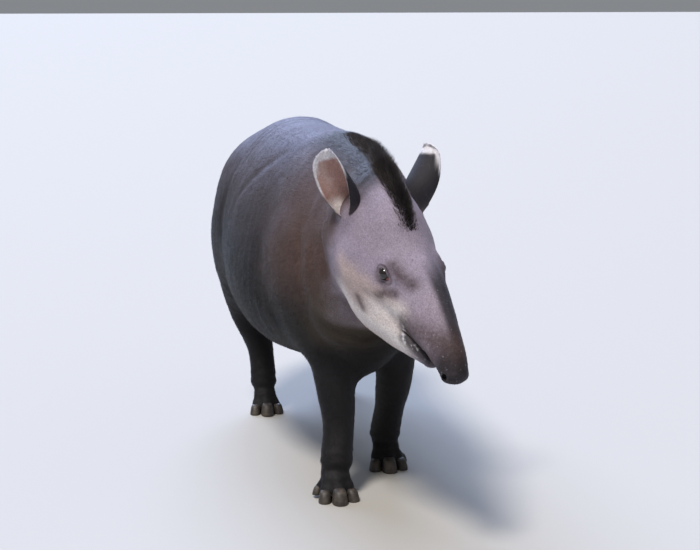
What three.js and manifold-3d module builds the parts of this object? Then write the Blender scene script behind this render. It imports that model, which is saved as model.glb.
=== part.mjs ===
// A lowland tapir (Tapirus terrestris), life size, walking with its head lowered and turned to its left.
// Millimetres. +X is forward, +Y the animal's left and +Z up. The origin is the bottom centre of its box.
// The flesh is one smooth field of tapered limbs and muscles. Each node of flesh is a piece of that field,
// parted from the next by a thin flat cut. Hooves, eyes and ears are solids of their own, set into sockets.
import * as THREE from "three";
import { mergeVertices } from "three/addons/utils/BufferGeometryUtils.js";
import Module from "manifold-3d";

// Driving dimensions
const WITHERS_HEIGHT = 885;
const RUMP_HEIGHT = 893;
const TRUNK_LENGTH = 1090;
const TRUNK_WIDTH = 530;
const HEAD_LENGTH = 480;
const HEAD_WIDTH = 184;
const HEAD_PITCH = 26;
const HEAD_TURN = 17;
const EAR_LENGTH = 155;
const EAR_WIDTH = 88;
const EAR_THICKNESS = 4;
const EYE_RADIUS = 16;
const TAIL_LENGTH = 95;
const LOCK_LENGTH = 44;
const LOCK_WIDTH = 30;
const FETLOCK_HEIGHT = 88;
const GAP = 0.3;

// Cell sizes of the faceted surfaces
const TRUNK_CELL = 57;
const NECK_CELL = 40;
const HEAD_CELL = 25;
const SNOUT_CELL = 15;
const LEG_CELL = 36;
const SHANK_CELL = 25;
const FOOT_CELL = 20;

const wasm = await Module();
wasm.setup();

// Vectors as plain arrays
const add = (a, b) => [a[0] + b[0], a[1] + b[1], a[2] + b[2]];
const sub = (a, b) => [a[0] - b[0], a[1] - b[1], a[2] - b[2]];
const scale = (a, s) => [a[0] * s, a[1] * s, a[2] * s];
const dot = (a, b) => a[0] * b[0] + a[1] * b[1] + a[2] * b[2];
const cross = (a, b) => [a[1] * b[2] - a[2] * b[1], a[2] * b[0] - a[0] * b[2], a[0] * b[1] - a[1] * b[0]];
const length = (a) => Math.hypot(a[0], a[1], a[2]);
const unit = (a) => scale(a, 1 / length(a));
const mix = (a, b, t) => a.map((v, i) => v + (b[i] - v) * t);
const radians = (degrees) => (degrees * Math.PI) / 180;
const range = (n) => Array.from({ length: n }, (_, i) => i);

// A frame places local points: forward, left and up are its axes
const frameAt = (origin, forward, leftHint) => {
  const f = unit(forward);
  const up = unit(cross(f, leftHint));
  return { origin, forward: f, left: cross(up, f), up };
};
const turned = (frame, [x, y, z]) =>
  add(scale(frame.forward, x), add(scale(frame.left, y), scale(frame.up, z)));
const placed = (frame, point) => add(frame.origin, turned(frame, point));
const inFrame = (frame, point) => {
  const d = sub(point, frame.origin);
  return [dot(d, frame.forward), dot(d, frame.left), dot(d, frame.up)];
};

// A Catmull-Rom value between rows of numbers, at a share of the way along them
const valueAlong = (rows, share) => {
  const at = Math.min(Math.max(share, 0), 1) * (rows.length - 1);
  const i = Math.min(Math.floor(at), rows.length - 2);
  const t = at - i;
  const before = rows[Math.max(i - 1, 0)];
  const after = rows[Math.min(i + 2, rows.length - 1)];
  return rows[i].map((v, k) => {
    const next = rows[i + 1][k];
    const slope = next - before[k];
    const bend = 2 * before[k] - 5 * v + 4 * next - after[k];
    const twist = 3 * v - before[k] - 3 * next + after[k];
    return 0.5 * (2 * v + slope * t + bend * t * t + twist * t * t * t);
  });
};

// A tapered limb. Each station is [x, y, z, half side, half up, half down]. Side is its left-hand direction.
// Caps are how far its ends bulge, as shares of the half side. Pear is how much it narrows upwards.
const STEPS_PER_STATION = 5;
function limb({ stations, side, caps = [1, 1], power = 2, pear = 0, blend }) {
  const count = (stations.length - 1) * STEPS_PER_STATION;
  const rows = range(count + 1).map((i) => valueAlong(stations, i / count));
  const ends = caps.map((share, k) => share * rows[k * count][3]);
  const steps = range(count).map((i) => {
    const from = rows[i].slice(0, 3);
    const reach = sub(rows[i + 1].slice(0, 3), from);
    return { from, reach, square: dot(reach, reach), ...frameAt(from, reach, side) };
  });
  const centre = mix(rows[0], rows[count], 0.5).slice(0, 3);
  const radius = Math.max(...rows.map((r) => length(sub(r.slice(0, 3), centre)) + Math.max(...r.slice(3))));
  const distance = (p) => {
    let best = Infinity;
    let near = 0;
    let raw = 0;
    for (let i = 0; i < count; i++) {
      const { from, reach, square } = steps[i];
      const dx = p[0] - from[0];
      const dy = p[1] - from[1];
      const dz = p[2] - from[2];
      const share = (dx * reach[0] + dy * reach[1] + dz * reach[2]) / square;
      const t = share < 0 ? 0 : share > 1 ? 1 : share;
      const gap = (dx - reach[0] * t) ** 2 + (dy - reach[1] * t) ** 2 + (dz - reach[2] * t) ** 2;
      if (gap < best) {
        best = gap;
        near = i + t;
        raw = share;
      }
    }
    const i = Math.min(Math.floor(near), count - 1);
    const row = mix(rows[i], rows[i + 1], near - i);
    const step = steps[i];
    const d = sub(p, row);
    const b = dot(d, step.up);
    const tall = b > 0 ? row[4] : row[5];
    const a = dot(d, step.left) / (1 - pear * Math.max(Math.min(b / tall, 1), -1));
    const beyond = (near === 0 && raw < 0) || near === count ? dot(d, step.forward) : 0;
    const end = ends[near === 0 ? 0 : 1];
    const shares = [a / row[3], b / tall, beyond / end];
    const q = shares.reduce((sum, v) => sum + Math.abs(v) ** power, 0) ** (1 / power);
    const away = Math.hypot(a, b, beyond);
    return q < 1e-6 ? -Math.min(row[3], tall) : away - away / q;
  };
  return { distance, blend, rows, centre, radius };
}

// An ellipsoid muscle, set in a frame
function muscle({ at, radii, forward = [1, 0, 0], left = [0, 1, 0], blend }) {
  const frame = frameAt(at, forward, left);
  const distance = (p) => {
    const l = inFrame(frame, p);
    const q = Math.hypot(l[0] / radii[0], l[1] / radii[1], l[2] / radii[2]);
    const away = length(l);
    return q < 1e-6 ? -Math.min(...radii) : away - away / q;
  };
  return { distance, blend, centre: at, radius: Math.max(...radii) };
}

const smoothMin = (a, b, k) => {
  const h = Math.max(k - Math.abs(a - b), 0) / k;
  return Math.min(a, b) - (h * h * k) / 4;
};
const FAR = 1e4;
const fieldOf = (parts) => (p) => {
  let d = FAR;
  for (const part of parts) {
    const nearest = length(sub(p, part.centre)) - part.radius;
    if (nearest < d + part.blend) d = smoothMin(d, part.distance(p), part.blend);
  }
  return d;
};

// Trunk. Shares of its length, height and width, from the buttocks to the breast
const TRUNK_REAR = -670;
const trunkRow = (along, across, middle, wide, up, down) => [
  TRUNK_REAR + along * TRUNK_LENGTH,
  across * TRUNK_WIDTH,
  middle * WITHERS_HEIGHT,
  (wide * TRUNK_WIDTH) / 2,
  up * WITHERS_HEIGHT,
  down * WITHERS_HEIGHT,
];
const trunk = limb({
  stations: [
    trunkRow(0.0, 0, 0.715, 0.54, 0.15, 0.2),
    trunkRow(0.13, -0.01, 0.73, 0.74, 0.235, 0.265),
    trunkRow(0.3, -0.02, 0.725, 0.83, RUMP_HEIGHT / WITHERS_HEIGHT - 0.725, 0.335),
    trunkRow(0.48, -0.02, 0.68, 0.88, 0.329, 0.345),
    trunkRow(0.66, 0, 0.675, 0.86, 0.324, 0.35),
    trunkRow(0.83, 0.035, 0.69, 0.72, 0.31, 0.33),
    trunkRow(0.95, 0.07, 0.697, 0.58, 0.252, 0.29),
  ],
  side: [0, 1, 0],
  caps: [0.6, 0.7],
  power: 2.35,
  pear: 0.26,
  blend: 60,
});
const haunches = [-1, 1].map((s) =>
  muscle({ at: [-455, s * 118, 565], radii: [200, 108, 215], forward: [1, 0, -0.25], blend: 100 }),
);
const shoulders = [-1, 1].map((s) =>
  muscle({ at: [262, 14 + s * 94, 590], radii: [105, 72, 200], forward: [1, 0, 0.25], blend: 80 }),
);
const brisket = muscle({ at: [316, 36, 385], radii: [114, 76, 95], forward: [1, 0, 0.2], blend: 60 });

// Head frame: its origin is the joint behind the skull
const pitch = radians(HEAD_PITCH);
const yaw = radians(HEAD_TURN);
const headJoint = [530, 14, 0.798 * WITHERS_HEIGHT];
const headForward = [Math.cos(pitch) * Math.cos(yaw), Math.cos(pitch) * Math.sin(yaw), -Math.sin(pitch)];
const head = frameAt(headJoint, headForward, [-Math.sin(yaw), Math.cos(yaw), 0]);
const onHead = (x, y, z) => placed(head, [x * HEAD_LENGTH, (y * HEAD_WIDTH) / 2, z * HEAD_LENGTH]);
const headRow = (along, middle, wide, up, down) => [
  ...onHead(along, 0, middle),
  (wide * HEAD_WIDTH) / 2,
  up * HEAD_LENGTH,
  down * HEAD_LENGTH,
];
const headMuscle = (at, radii, blend) =>
  muscle({ at: onHead(...at), radii, forward: head.forward, left: head.left, blend });

// Neck, from deep in the breast to the back of the skull
const neck = limb({
  stations: [
    [200, 14, 640, 146, 212, 180],
    [320, 18, 660, 130, 192, 185],
    [430, 18, 682, 112, 166, 168],
    [520, 20, 696, 100, 142, 140],
    [600, 40, 680, 88, 116, 100],
  ],
  side: [-0.1, 0.99, 0],
  caps: [0.8, 0.8],
  pear: 0.24,
  blend: 90,
});
const nuchalCrest = limb({
  stations: [
    [240, 24, 815, 50, 60, 60],
    [340, 32, 806, 46, 60, 60],
    [430, 38, 800, 42, 63, 60],
    [520, 42, 790, 38, 68, 60],
    [...onHead(0.04, 0, 0.13), 34, 64, 60],
    [...onHead(0.2, 0, 0.1), 26, 48, 50],
  ],
  side: [-0.15, 0.98, 0],
  caps: [0.9, 0.9],
  blend: 50,
});
const skull = limb({
  stations: [
    headRow(-0.03, 0.0, 0.9, 0.21, 0.17),
    headRow(0.16, -0.02, 1.0, 0.215, 0.19),
    headRow(0.38, -0.03, 0.92, 0.18, 0.165),
    headRow(0.56, -0.05, 0.72, 0.152, 0.142),
    headRow(0.74, -0.09, 0.53, 0.118, 0.108),
    headRow(0.88, -0.14, 0.42, 0.09, 0.076),
    headRow(0.945, -0.185, 0.36, 0.07, 0.056),
  ],
  side: head.left,
  caps: [0.8, 0.72],
  power: 2.05,
  pear: 0.16,
  blend: 70,
});
const jawbone = limb({
  stations: [
    headRow(0.08, -0.16, 0.94, 0.12, 0.21),
    headRow(0.26, -0.19, 0.9, 0.12, 0.235),
    headRow(0.44, -0.215, 0.72, 0.11, 0.18),
    headRow(0.62, -0.235, 0.47, 0.075, 0.1),
    headRow(0.755, -0.245, 0.27, 0.042, 0.04),
  ],
  side: head.left,
  caps: [0.8, 0.9],
  blend: 24,
  power: 2.3,
});
const cheeks = [-1, 1].map((s) =>
  headMuscle([0.2, s * 0.5, -0.11], [0.2 * HEAD_LENGTH, 0.24 * HEAD_WIDTH, 0.16 * HEAD_LENGTH], 50),
);
const brows = [-1, 1].map((s) => headMuscle([0.41, s * 0.61, 0.03], [38, 15, 25], 30));

// Legs. Each station is [x, y, z, half side, half forward, half back], from the trunk down to the fetlock
const legs = {
  fore_right: {
    foot: [392, -50],
    lateral: -1,
    front: true,
    stations: [
      [262, -96, 620, 66, 100, 90],
      [270, -84, 500, 64, 78, 80],
      [304, -54, 370, 54, 56, 60],
      [334, -36, 250, 49, 47, 46],
      [352, -34, 165, 41, 38, 40],
      [382, -44, FETLOCK_HEIGHT, 42, 38, 40],
    ],
    blend: 60,
  },
  fore_left: {
    foot: [170, 126],
    lateral: 1,
    front: true,
    stations: [
      [246, 132, 620, 66, 100, 90],
      [236, 138, 500, 64, 78, 80],
      [240, 142, 370, 54, 56, 60],
      [230, 138, 250, 49, 47, 46],
      [192, 134, 165, 41, 38, 40],
      [164, 128, FETLOCK_HEIGHT, 42, 38, 40],
    ],
    blend: 60,
  },
  hind_right: {
    foot: [-420, -114],
    lateral: -1,
    front: false,
    stations: [
      [-480, -116, 690, 90, 150, 140],
      [-425, -142, 540, 98, 124, 142],
      [-445, -156, 405, 84, 84, 94],
      [-492, -144, 290, 62, 50, 62],
      [-470, -117, 180, 40, 38, 41],
      [-434, -114, FETLOCK_HEIGHT, 41, 38, 40],
    ],
    blend: 70,
  },
  hind_left: {
    foot: [-590, 128],
    lateral: 1,
    front: false,
    stations: [
      [-480, 116, 690, 90, 150, 140],
      [-456, 142, 540, 98, 124, 142],
      [-512, 154, 405, 82, 84, 94],
      [-594, 148, 290, 60, 50, 62],
      [-606, 136, 180, 40, 38, 41],
      [-604, 130, FETLOCK_HEIGHT, 41, 38, 40],
    ],
    blend: 70,
  },
};

// Toes: [forward, outward, turn outwards in degrees, half width, hoof length, hoof width, hoof height, lift]
const FORE_TOES = {
  inner: [50, -35, -16, 18, 37, 30, 28, 0],
  middle: [68, 0, 0, 20, 45, 36, 34, 0],
  outer: [50, 35, 16, 18, 37, 30, 28, 0],
  fourth: [8, 47, 48, 13, 25, 21, 20, 8],
};
const HIND_TOES = {
  inner: [48, -34, -16, 17, 36, 29, 27, 0],
  middle: [66, 0, 0, 20, 44, 35, 33, 0],
  outer: [48, 34, 16, 17, 36, 29, 27, 0],
};
for (const leg of Object.values(legs)) {
  leg.bone = limb({ stations: leg.stations, side: [0, 1, 0], blend: leg.blend });
  leg.toes = Object.entries(leg.front ? FORE_TOES : HIND_TOES).map(([name, size]) => {
    const [forward, outward, turn, half, hoofLength, hoofWidth, hoofHeight, lift] = size;
    const angle = radians(turn * leg.lateral);
    const heading = [Math.cos(angle), Math.sin(angle), 0];
    const reach = [forward, outward * leg.lateral, 0];
    const foot = [...leg.foot, 0];
    const tip = add(foot, [reach[0], reach[1], lift + 12]);
    const knuckle = add(foot, [reach[0] * 0.45, reach[1] * 0.6, 42]);
    const base = add(foot, [-10, reach[1] * 0.25, FETLOCK_HEIGHT - 10]);
    const digit = limb({
      stations: [
        [...base, half * 1.1, half * 1.2, half],
        [...knuckle, half * 1.05, half * 0.95, half],
        [...mix(knuckle, tip, 0.8), half * 0.95, half * 0.55, half * 0.8],
      ],
      side: [-heading[1], heading[0], 0],
      blend: 9,
    });
    return { name, heading, tip, digit, hoofLength, hoofWidth, hoofHeight, lift };
  });
  leg.pad = muscle({ at: [leg.foot[0] + 6, leg.foot[1], 20], radii: [42, 38, 27], blend: 18 });
  leg.parts = [leg.bone, leg.pad, ...leg.toes.map((toe) => toe.digit)];
}

const tailRoot = [-758, 0, 0.803 * WITHERS_HEIGHT];
const tailTip = add(tailRoot, scale(unit([-0.42, 0, -0.91]), TAIL_LENGTH * 0.8));
const tail = limb({
  stations: [
    [...add(tailRoot, [70, 0, 32]), 32, 30, 32],
    [...tailRoot, 22, 19, 22],
    [...tailTip, 11, 9, 11],
  ],
  side: [0, 1, 0],
  blend: 24,
});

const legList = Object.values(legs);
const legBones = legList.map((leg) => leg.bone);
const trunkParts = [trunk, ...haunches, ...shoulders, brisket];
const headParts = [neck, nuchalCrest, skull, ...cheeks, ...brows, jawbone];
const torsoField = fieldOf([...trunkParts, neck, ...legBones, tail]);
const neckField = fieldOf([...trunkParts, ...headParts, ...legBones]);
const headField = fieldOf([...trunkParts, ...headParts]);

// The corners of a grid cell, and its faces as rings of corners
const corners = range(8).map((c) => [c & 1, (c >> 1) & 1, (c >> 2) & 1]);
const cellFaces = [
  [0, 1, 3, 2],
  [4, 5, 7, 6],
  [0, 1, 5, 4],
  [2, 3, 7, 6],
  [0, 2, 6, 4],
  [1, 3, 7, 5],
];
const gridSteps = [
  [1, 0, 0],
  [0, 1, 0],
  [0, 0, 1],
];

// Whether two sheets of the surface would share this cell
const splits = (inside) => {
  const alternates = ([a, b, c, d]) =>
    inside[a] === inside[c] && inside[b] === inside[d] && inside[a] !== inside[b];
  if (cellFaces.some(alternates)) return true;
  return [true, false].some((kind) => {
    const members = range(8).filter((c) => inside[c] === kind);
    if (!members.length) return false;
    const seen = new Set([members[0]]);
    for (const c of seen) [1, 2, 4].forEach((bit) => inside[c ^ bit] === kind && seen.add(c ^ bit));
    return seen.size < members.length;
  });
};

// Flips the corner nearest to the surface in each cell that two sheets share, to keep the mesh closed
function untangle(values, cells, index) {
  let changed = true;
  while (changed) {
    changed = false;
    for (const [i, j, k] of cells) {
      const at = corners.map(([a, b, c]) => index(i + a, j + b, k + c));
      const inside = at.map((n) => values[n] < 0);
      if (inside.every((v) => v === inside[0]) || !splits(inside)) continue;
      const nearest = at.reduce((m, n) => (Math.abs(values[n]) < Math.abs(values[m]) ? n : m));
      values[nearest] = values[nearest] ? -2 * values[nearest] : -0.01;
      changed = true;
    }
  }
}

// Moves a point onto the field's zero level, by at most half a cell
function settle(field, p, cell) {
  const start = [...p];
  const h = 0.5;
  for (const _ of range(2)) {
    const d = field(p);
    const slope = gridSteps.map((step) => (field(add(p, scale(step, h))) - d) / h);
    const steep = Math.max(dot(slope, slope), 0.1);
    for (const k of range(3)) p[k] -= (d * slope[k]) / steep;
  }
  const moved = length(sub(p, start));
  if (moved > cell / 2) for (const k of range(3)) p[k] = start[k] + ((p[k] - start[k]) * cell) / 2 / moved;
}

// Turns a field's zero level inside a box into a closed solid, with one point in each crossed cell
function surfaceOf(field, [low, high], cell) {
  const count = range(3).map((k) => Math.ceil((high[k] - low[k]) / cell) + 1);
  const index = (i, j, k) => (i * count[1] + j) * count[2] + k;
  const at = (i, j, k) => [low[0] + i * cell, low[1] + j * cell, low[2] + k * cell];
  const values = new Float64Array(count[0] * count[1] * count[2]);
  const cells = [];
  for (const i of range(count[0]))
    for (const j of range(count[1]))
      for (const k of range(count[2])) {
        const rim = [i, j, k].some((v, axis) => v === 0 || v === count[axis] - 1);
        values[index(i, j, k)] = rim ? cell : field(at(i, j, k));
        if ([i, j, k].every((v, axis) => v < count[axis] - 1)) cells.push([i, j, k]);
      }
  const crossed = cells.filter(([i, j, k]) => {
    const inside = corners.map(([a, b, c]) => values[index(i + a, j + b, k + c)] < 0);
    return inside.some((v) => v !== inside[0]);
  });
  untangle(values, crossed, index);
  const points = [];
  const pointOf = new Map();
  for (const [i, j, k] of cells) {
    const v = corners.map(([a, b, c]) => values[index(i + a, j + b, k + c)]);
    const cuts = [];
    for (const a of range(8))
      for (const bit of [1, 2, 4])
        if (!(a & bit) && v[a] < 0 !== v[a | bit] < 0)
          cuts.push(mix(corners[a], corners[a | bit], v[a] / (v[a] - v[a | bit])));
    if (!cuts.length) continue;
    const p = add(at(i, j, k), scale(cuts.reduce(add), cell / cuts.length));
    settle(field, p, cell);
    pointOf.set(index(i, j, k), points.length);
    points.push(p);
  }
  const faces = [];
  const apart = (m, n) => length(sub(points[m], points[n]));
  for (const [i, j, k] of cells)
    gridSteps.forEach((step, axis) => {
      if ([i, j, k].some((v, other) => other !== axis && v === 0)) return;
      const inside = values[index(i, j, k)] < 0;
      if (inside === values[index(i + step[0], j + step[1], k + step[2])] < 0) return;
      const [u, w] = [gridSteps[(axis + 1) % 3], gridSteps[(axis + 2) % 3]];
      const ring = [0, 1, 3, 2].map((c) => {
        const [s, t] = corners[c];
        const cell = [i, j, k].map((v, n) => v - u[n] * s - w[n] * t);
        return pointOf.get(index(...cell));
      });
      if (!inside) ring.reverse();
      const [p, q, r, s] = ring;
      faces.push(...(apart(p, r) < apart(q, s) ? [p, q, r, p, r, s] : [p, q, s, q, r, s]));
    });
  return solidOf(points.flat(), faces);
}

function solidOf(positions, faces) {
  const mesh = { numProp: 3, vertProperties: new Float32Array(positions), triVerts: new Uint32Array(faces) };
  return new wasm.Manifold(new wasm.Mesh(mesh));
}

const moved = (solid, by) => {
  const { numProp, numVert, vertProperties, triVerts } = solid.getMesh();
  const vertex = (i) => Array.from(vertProperties.subarray(i * numProp, i * numProp + 3));
  const points = range(numVert).map((i) => add(vertex(i), by));
  return solidOf(points.flat(), triVerts);
};

// A three.js geometry, set in a frame, as a solid
function solidFrom(geometry, frame) {
  const bare = geometry.clone();
  bare.deleteAttribute("normal");
  bare.deleteAttribute("uv");
  const merged = mergeVertices(bare, 1e-3);
  const local = Array.from(merged.attributes.position.array);
  const points = range(local.length / 3).map((i) => placed(frame, local.slice(3 * i, 3 * i + 3)));
  return solidOf(points.flat(), Array.from(merged.index.array));
}

// A closed solid through rings of points, with the first and the last ring filled in
function loft(rings) {
  const sides = rings[0].length;
  const faces = [];
  const last = (rings.length - 1) * sides;
  for (const i of range(rings.length - 1))
    for (const n of range(sides)) {
      const [a, b] = [i * sides + n, i * sides + ((n + 1) % sides)];
      faces.push(a, b, b + sides, a, b + sides, a + sides);
    }
  for (const n of range(sides / 2 - 1)) {
    const [p, q, r, s] = [n, n + 1, sides - 2 - n, sides - 1 - n];
    faces.push(p, s, r, p, r, q, last + p, last + q, last + r, last + p, last + r, last + s);
  }
  const solid = solidOf(rings.flat(2), faces);
  return solid.volume() < 0 ? loft(rings.map((ring) => [...ring].reverse())) : solid;
}

// A closed tapered strand. Each ring is [point, half side, half thick], with an even number of sides round it
function strand(rings, side, sides) {
  return loft(
    rings.map(([at, halfSide, halfThick], i) => {
      const back = rings[Math.max(i - 1, 0)][0];
      const ahead = rings[Math.min(i + 1, rings.length - 1)][0];
      const frame = frameAt(at, sub(ahead, back), side);
      return range(sides).map((n) => {
        const angle = (2 * Math.PI * n) / sides;
        return placed(frame, [0, Math.cos(angle) * halfSide, Math.sin(angle) * halfThick]);
      });
    }),
  );
}

// The half space on the far side of a plane, as a block far larger than the animal
const BLOCK = 4000;
const beyond = (point, normal, leftHint = [0, 1, 0]) => {
  const frame = frameAt(add(point, scale(unit(normal), BLOCK / 2)), normal, leftHint);
  return solidFrom(new THREE.BoxGeometry(BLOCK, BLOCK, BLOCK), frame);
};
const union = (solids) => solids.reduce((a, b) => a.add(b));
const largest = (solid) => solid.decompose().reduce((a, b) => (a.volume() > b.volume() ? a : b));

// Where the field's surface is met by a ray from outside
function surfacePoint(field, from, direction) {
  let p = from;
  for (const _ of range(60)) {
    const d = field(p);
    if (Math.abs(d) < 0.05) break;
    p = add(p, scale(direction, Math.max(Math.min(d * 0.8, 30), -30)));
  }
  return p;
}

// Parting planes, each a point and a normal. The two nodes that meet there keep half of the gap each
const LEG_TOP = 400;
const ANKLE = 100;
const LEG_MARGIN = 150;
const JOINT_LEVEL = { front: 236, rear: 262 };
const CHEST_REAR = 110;
const RUMP_FRONT = -270;
const neckPlane = [[395, 4, 690], unit([0.98, 0.03, 0.12])];
const headPlane = [onHead(-0.05, 0, 0), unit(mix(head.forward, [1, 0.2, 0.1], 0.5))];
const snoutPlane = [onHead(0.8, 0, -0.1), unit(sub(onHead(0.9, 0, -0.15), onHead(0.72, 0, -0.085)))];
const across = (x) => [[x, 0, 0], [1, 0, 0]];
const behind = ([point, normal]) => [point, scale(normal, -1)];
const halfGapBefore = ([point, normal]) => beyond(sub(point, scale(normal, GAP / 2)), normal);
const clearOf = (solid, planes) => planes.reduce((rest, plane) => rest.subtract(halfGapBefore(plane)), solid);

const world = frameAt([0, 0, 0], [1, 0, 0], [0, 1, 0]);
const blockIn = (frame, low, high) => {
  const centred = { ...frame, origin: placed(frame, mix(low, high, 0.5)) };
  return solidFrom(new THREE.BoxGeometry(...sub(high, low)), centred);
};
const grown = ([low, high], by) => [low.map((v) => v - by), high.map((v) => v + by)];
const boxAround = (frame, low, high) => {
  const points = corners.map((c) => placed(frame, c.map((side, k) => (side ? high : low)[k])));
  const along = (k) => points.map((p) => p[k]);
  return [range(3).map((k) => Math.min(...along(k))), range(3).map((k) => Math.max(...along(k)))];
};

// One node of flesh: the field in a box and what grows on it, less its sockets and what is past its planes
function flesh({ field, cell, box, planes = [], within, without = [], adding = [] }) {
  const body = surfaceOf(field, grown(box, 1.6 * cell), cell);
  const joined = clearOf(union([body, ...adding]), planes);
  const kept = within ? joined.intersect(within) : joined;
  return largest(without.reduce((rest, tool) => rest.subtract(tool), kept));
}

// Mouth: a slit from the corner of the lips to their front, which frees the lower jaw
const MOUTH_SLIT = 2.4;
const mouthCorner = onHead(0.585, 0, -0.193);
const lipFront = onHead(0.81, 0, -0.215);
const mouth = frameAt(mouthCorner, sub(lipFront, mouthCorner), head.left);
const JAW_LENGTH = 0.26 * HEAD_LENGTH;
const jawBlock = (back, top) => blockIn(mouth, [-back, -120, -200], [JAW_LENGTH, 120, top]);

// Eyes, set in their sockets behind the lids
const eyes = [-1, 1].map((s) => {
  const centre = onHead(0.42, s * 0.76, 0.02);
  const outward = turned(head, unit([0.22, s, 0.1]));
  const frame = frameAt(centre, outward, scale(head.forward, -s));
  return { side: s, frame };
});
const ball = (frame, radius) => solidFrom(new THREE.SphereGeometry(radius, 12, 8), frame);
const LID_SPREAD = radians(54);
const LID_RAISE = { upper: radians(33), lower: radians(-35) };
const LID_THICKNESS = { upper: 4.6, lower: 3.8 };
function lid(frame, raise, thick) {
  const rings = range(7).map((i) => {
    const along = -1 + (2 * i) / 6;
    const turn = along * LID_SPREAD;
    const rise = raise * Math.cos((along * Math.PI) / 2);
    const reach = EYE_RADIUS + 0.5;
    const point = [Math.cos(turn) * Math.cos(rise), Math.sin(turn) * Math.cos(rise), Math.sin(rise)];
    const half = thick * (0.6 + 0.4 * Math.cos((along * Math.PI) / 2));
    return [placed(frame, scale(point, reach)), half, half];
  });
  return strand(rings, frame.forward, 6);
}

const lids = eyes.flatMap(({ frame }) => [
  lid(frame, LID_RAISE.upper, LID_THICKNESS.upper),
  lid(frame, LID_RAISE.lower, LID_THICKNESS.lower),
]);

// Nostrils, two slanting slits at the end of the snout
const nostrils = [-1, 1].map((s) => {
  const frame = frameAt(onHead(0.972, s * 0.19, -0.19), turned(head, [0.8, s * 0.25, 0.35]), head.left);
  const slit = new THREE.SphereGeometry(1, 10, 6).scale(9, 5.5, 15);
  return solidFrom(slit, frame);
});

// Ears. Rows: [share of length, share of half width, spread of the cup from its back in degrees]
const EAR_ROWS = [
  [0, 0.58, 140],
  [0.12, 0.76, 128],
  [0.32, 0.94, 114],
  [0.52, 1, 94],
  [0.72, 0.95, 76],
  [0.88, 0.74, 62],
  [0.97, 0.42, 50],
  [1, 0.18, 46],
];
const EAR_ARC = 6;
const EAR_BULB = 31;
const EAR_SINK = 21;
const rooted = (inner, outer) => {
  const inward = unit(sub(inner, outer));
  return { base: surfacePoint(headField, outer, inward), inward };
};
const ears = [
  {
    name: "ear_right",
    ...rooted(onHead(0.05, -0.4, 0.02), onHead(0.05, -1.6, 0.21)),
    reach: [-0.12, -0.3, 0.95],
    open: [0.62, -0.78, 0.13],
  },
  {
    name: "ear_left",
    ...rooted(onHead(0.05, 0.4, 0.005), onHead(0.05, 1.6, 0.195)),
    reach: [-0.15, 0.17, 0.96],
    open: [-0.42, 0.9, -0.11],
  },
];
const bulbOf = ({ base, inward, reach }, grow = 0) =>
  ball(frameAt(add(base, scale(inward, EAR_SINK)), reach, inward), EAR_BULB + grow);
function earOf(ear, seat) {
  const { base, inward, reach, open } = ear;
  const up = unit(reach);
  const side = unit(cross(up, open));
  const facing = cross(side, up);
  const rings = EAR_ROWS.map(([along, wide, spread]) => {
    const half = (wide * EAR_WIDTH) / 2;
    const arc = radians(spread);
    const radius = half / Math.sin(Math.min(arc, Math.PI / 2));
    const middle = radius * Math.cos(arc) + 0.5 * radius;
    const point = (turn, r) => {
      const [x, y] = [Math.sin(turn) * r, middle - Math.cos(turn) * r];
      return add(base, add(scale(up, along * EAR_LENGTH), add(scale(side, x), scale(facing, y))));
    };
    const turns = range(EAR_ARC + 1).map((i) => arc * (-1 + (2 * i) / EAR_ARC));
    const outer = turns.map((turn) => point(turn, radius));
    const inner = turns.map((turn) => point(turn, Math.max(radius - EAR_THICKNESS, 1)));
    return [...outer, ...inner.reverse()];
  });
  const clear = moved(seat, scale(inward, -1.5 * GAP));
  return largest(loft(rings).subtract(clear)).add(bulbOf(ear));
}

// Hooves. Rows upward: [share of height, share of length, share of width, share of length that it sits back]
const HOOF_ROWS = [
  [0, 1, 1, 0],
  [0.35, 0.97, 0.98, 0.02],
  [0.75, 0.82, 0.88, 0.1],
  [1, 0.55, 0.66, 0.18],
];
const HOOF_SIDES = 8;
function hoofOf(toe, grow = 0) {
  const left = [-toe.heading[1], toe.heading[0], 0];
  const frame = frameAt([toe.tip[0], toe.tip[1], toe.lift], toe.heading, left);
  const rings = HOOF_ROWS.map(([high, long, wide, back], row) => {
    const z = high * toe.hoofHeight + (row === HOOF_ROWS.length - 1 ? grow : row === 0 ? -grow : 0);
    return range(HOOF_SIDES).map((n) => {
      const turn = (2 * Math.PI * (n + 0.5)) / HOOF_SIDES;
      const x = Math.cos(turn) * ((long * toe.hoofLength) / 2 + grow) - back * toe.hoofLength;
      const y = Math.sin(turn) * ((wide * toe.hoofWidth) / 2 + grow);
      return placed(frame, [x, y, z]);
    });
  });
  return loft(rings);
}

// Mane: a crest of flat locks from the forehead to the withers. Rows: a point above it, then one below it
const crestRows = [
  [...onHead(0.32, 0, 0.5), ...onHead(0.32, 0, 0)],
  [...onHead(0.14, 0, 0.5), ...onHead(0.14, 0, 0)],
  [...onHead(-0.04, 0, 0.5), ...onHead(-0.04, 0.1, 0)],
  [450, 40, 1100, 450, 40, 700],
  [340, 32, 1100, 340, 32, 700],
  [225, 22, 1100, 225, 22, 700],
];
const CREST_LATERAL = unit([-0.15, 0.98, 0.1]);
function crestAt(share, offset = 0) {
  const row = valueAlong(crestRows, share);
  const aside = scale(CREST_LATERAL, offset);
  const [above, below] = [add(row.slice(0, 3), aside), add(row.slice(3), aside)];
  const down = unit(sub(below, above));
  return { point: surfacePoint(headField, above, down), up: scale(down, -1) };
}

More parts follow.
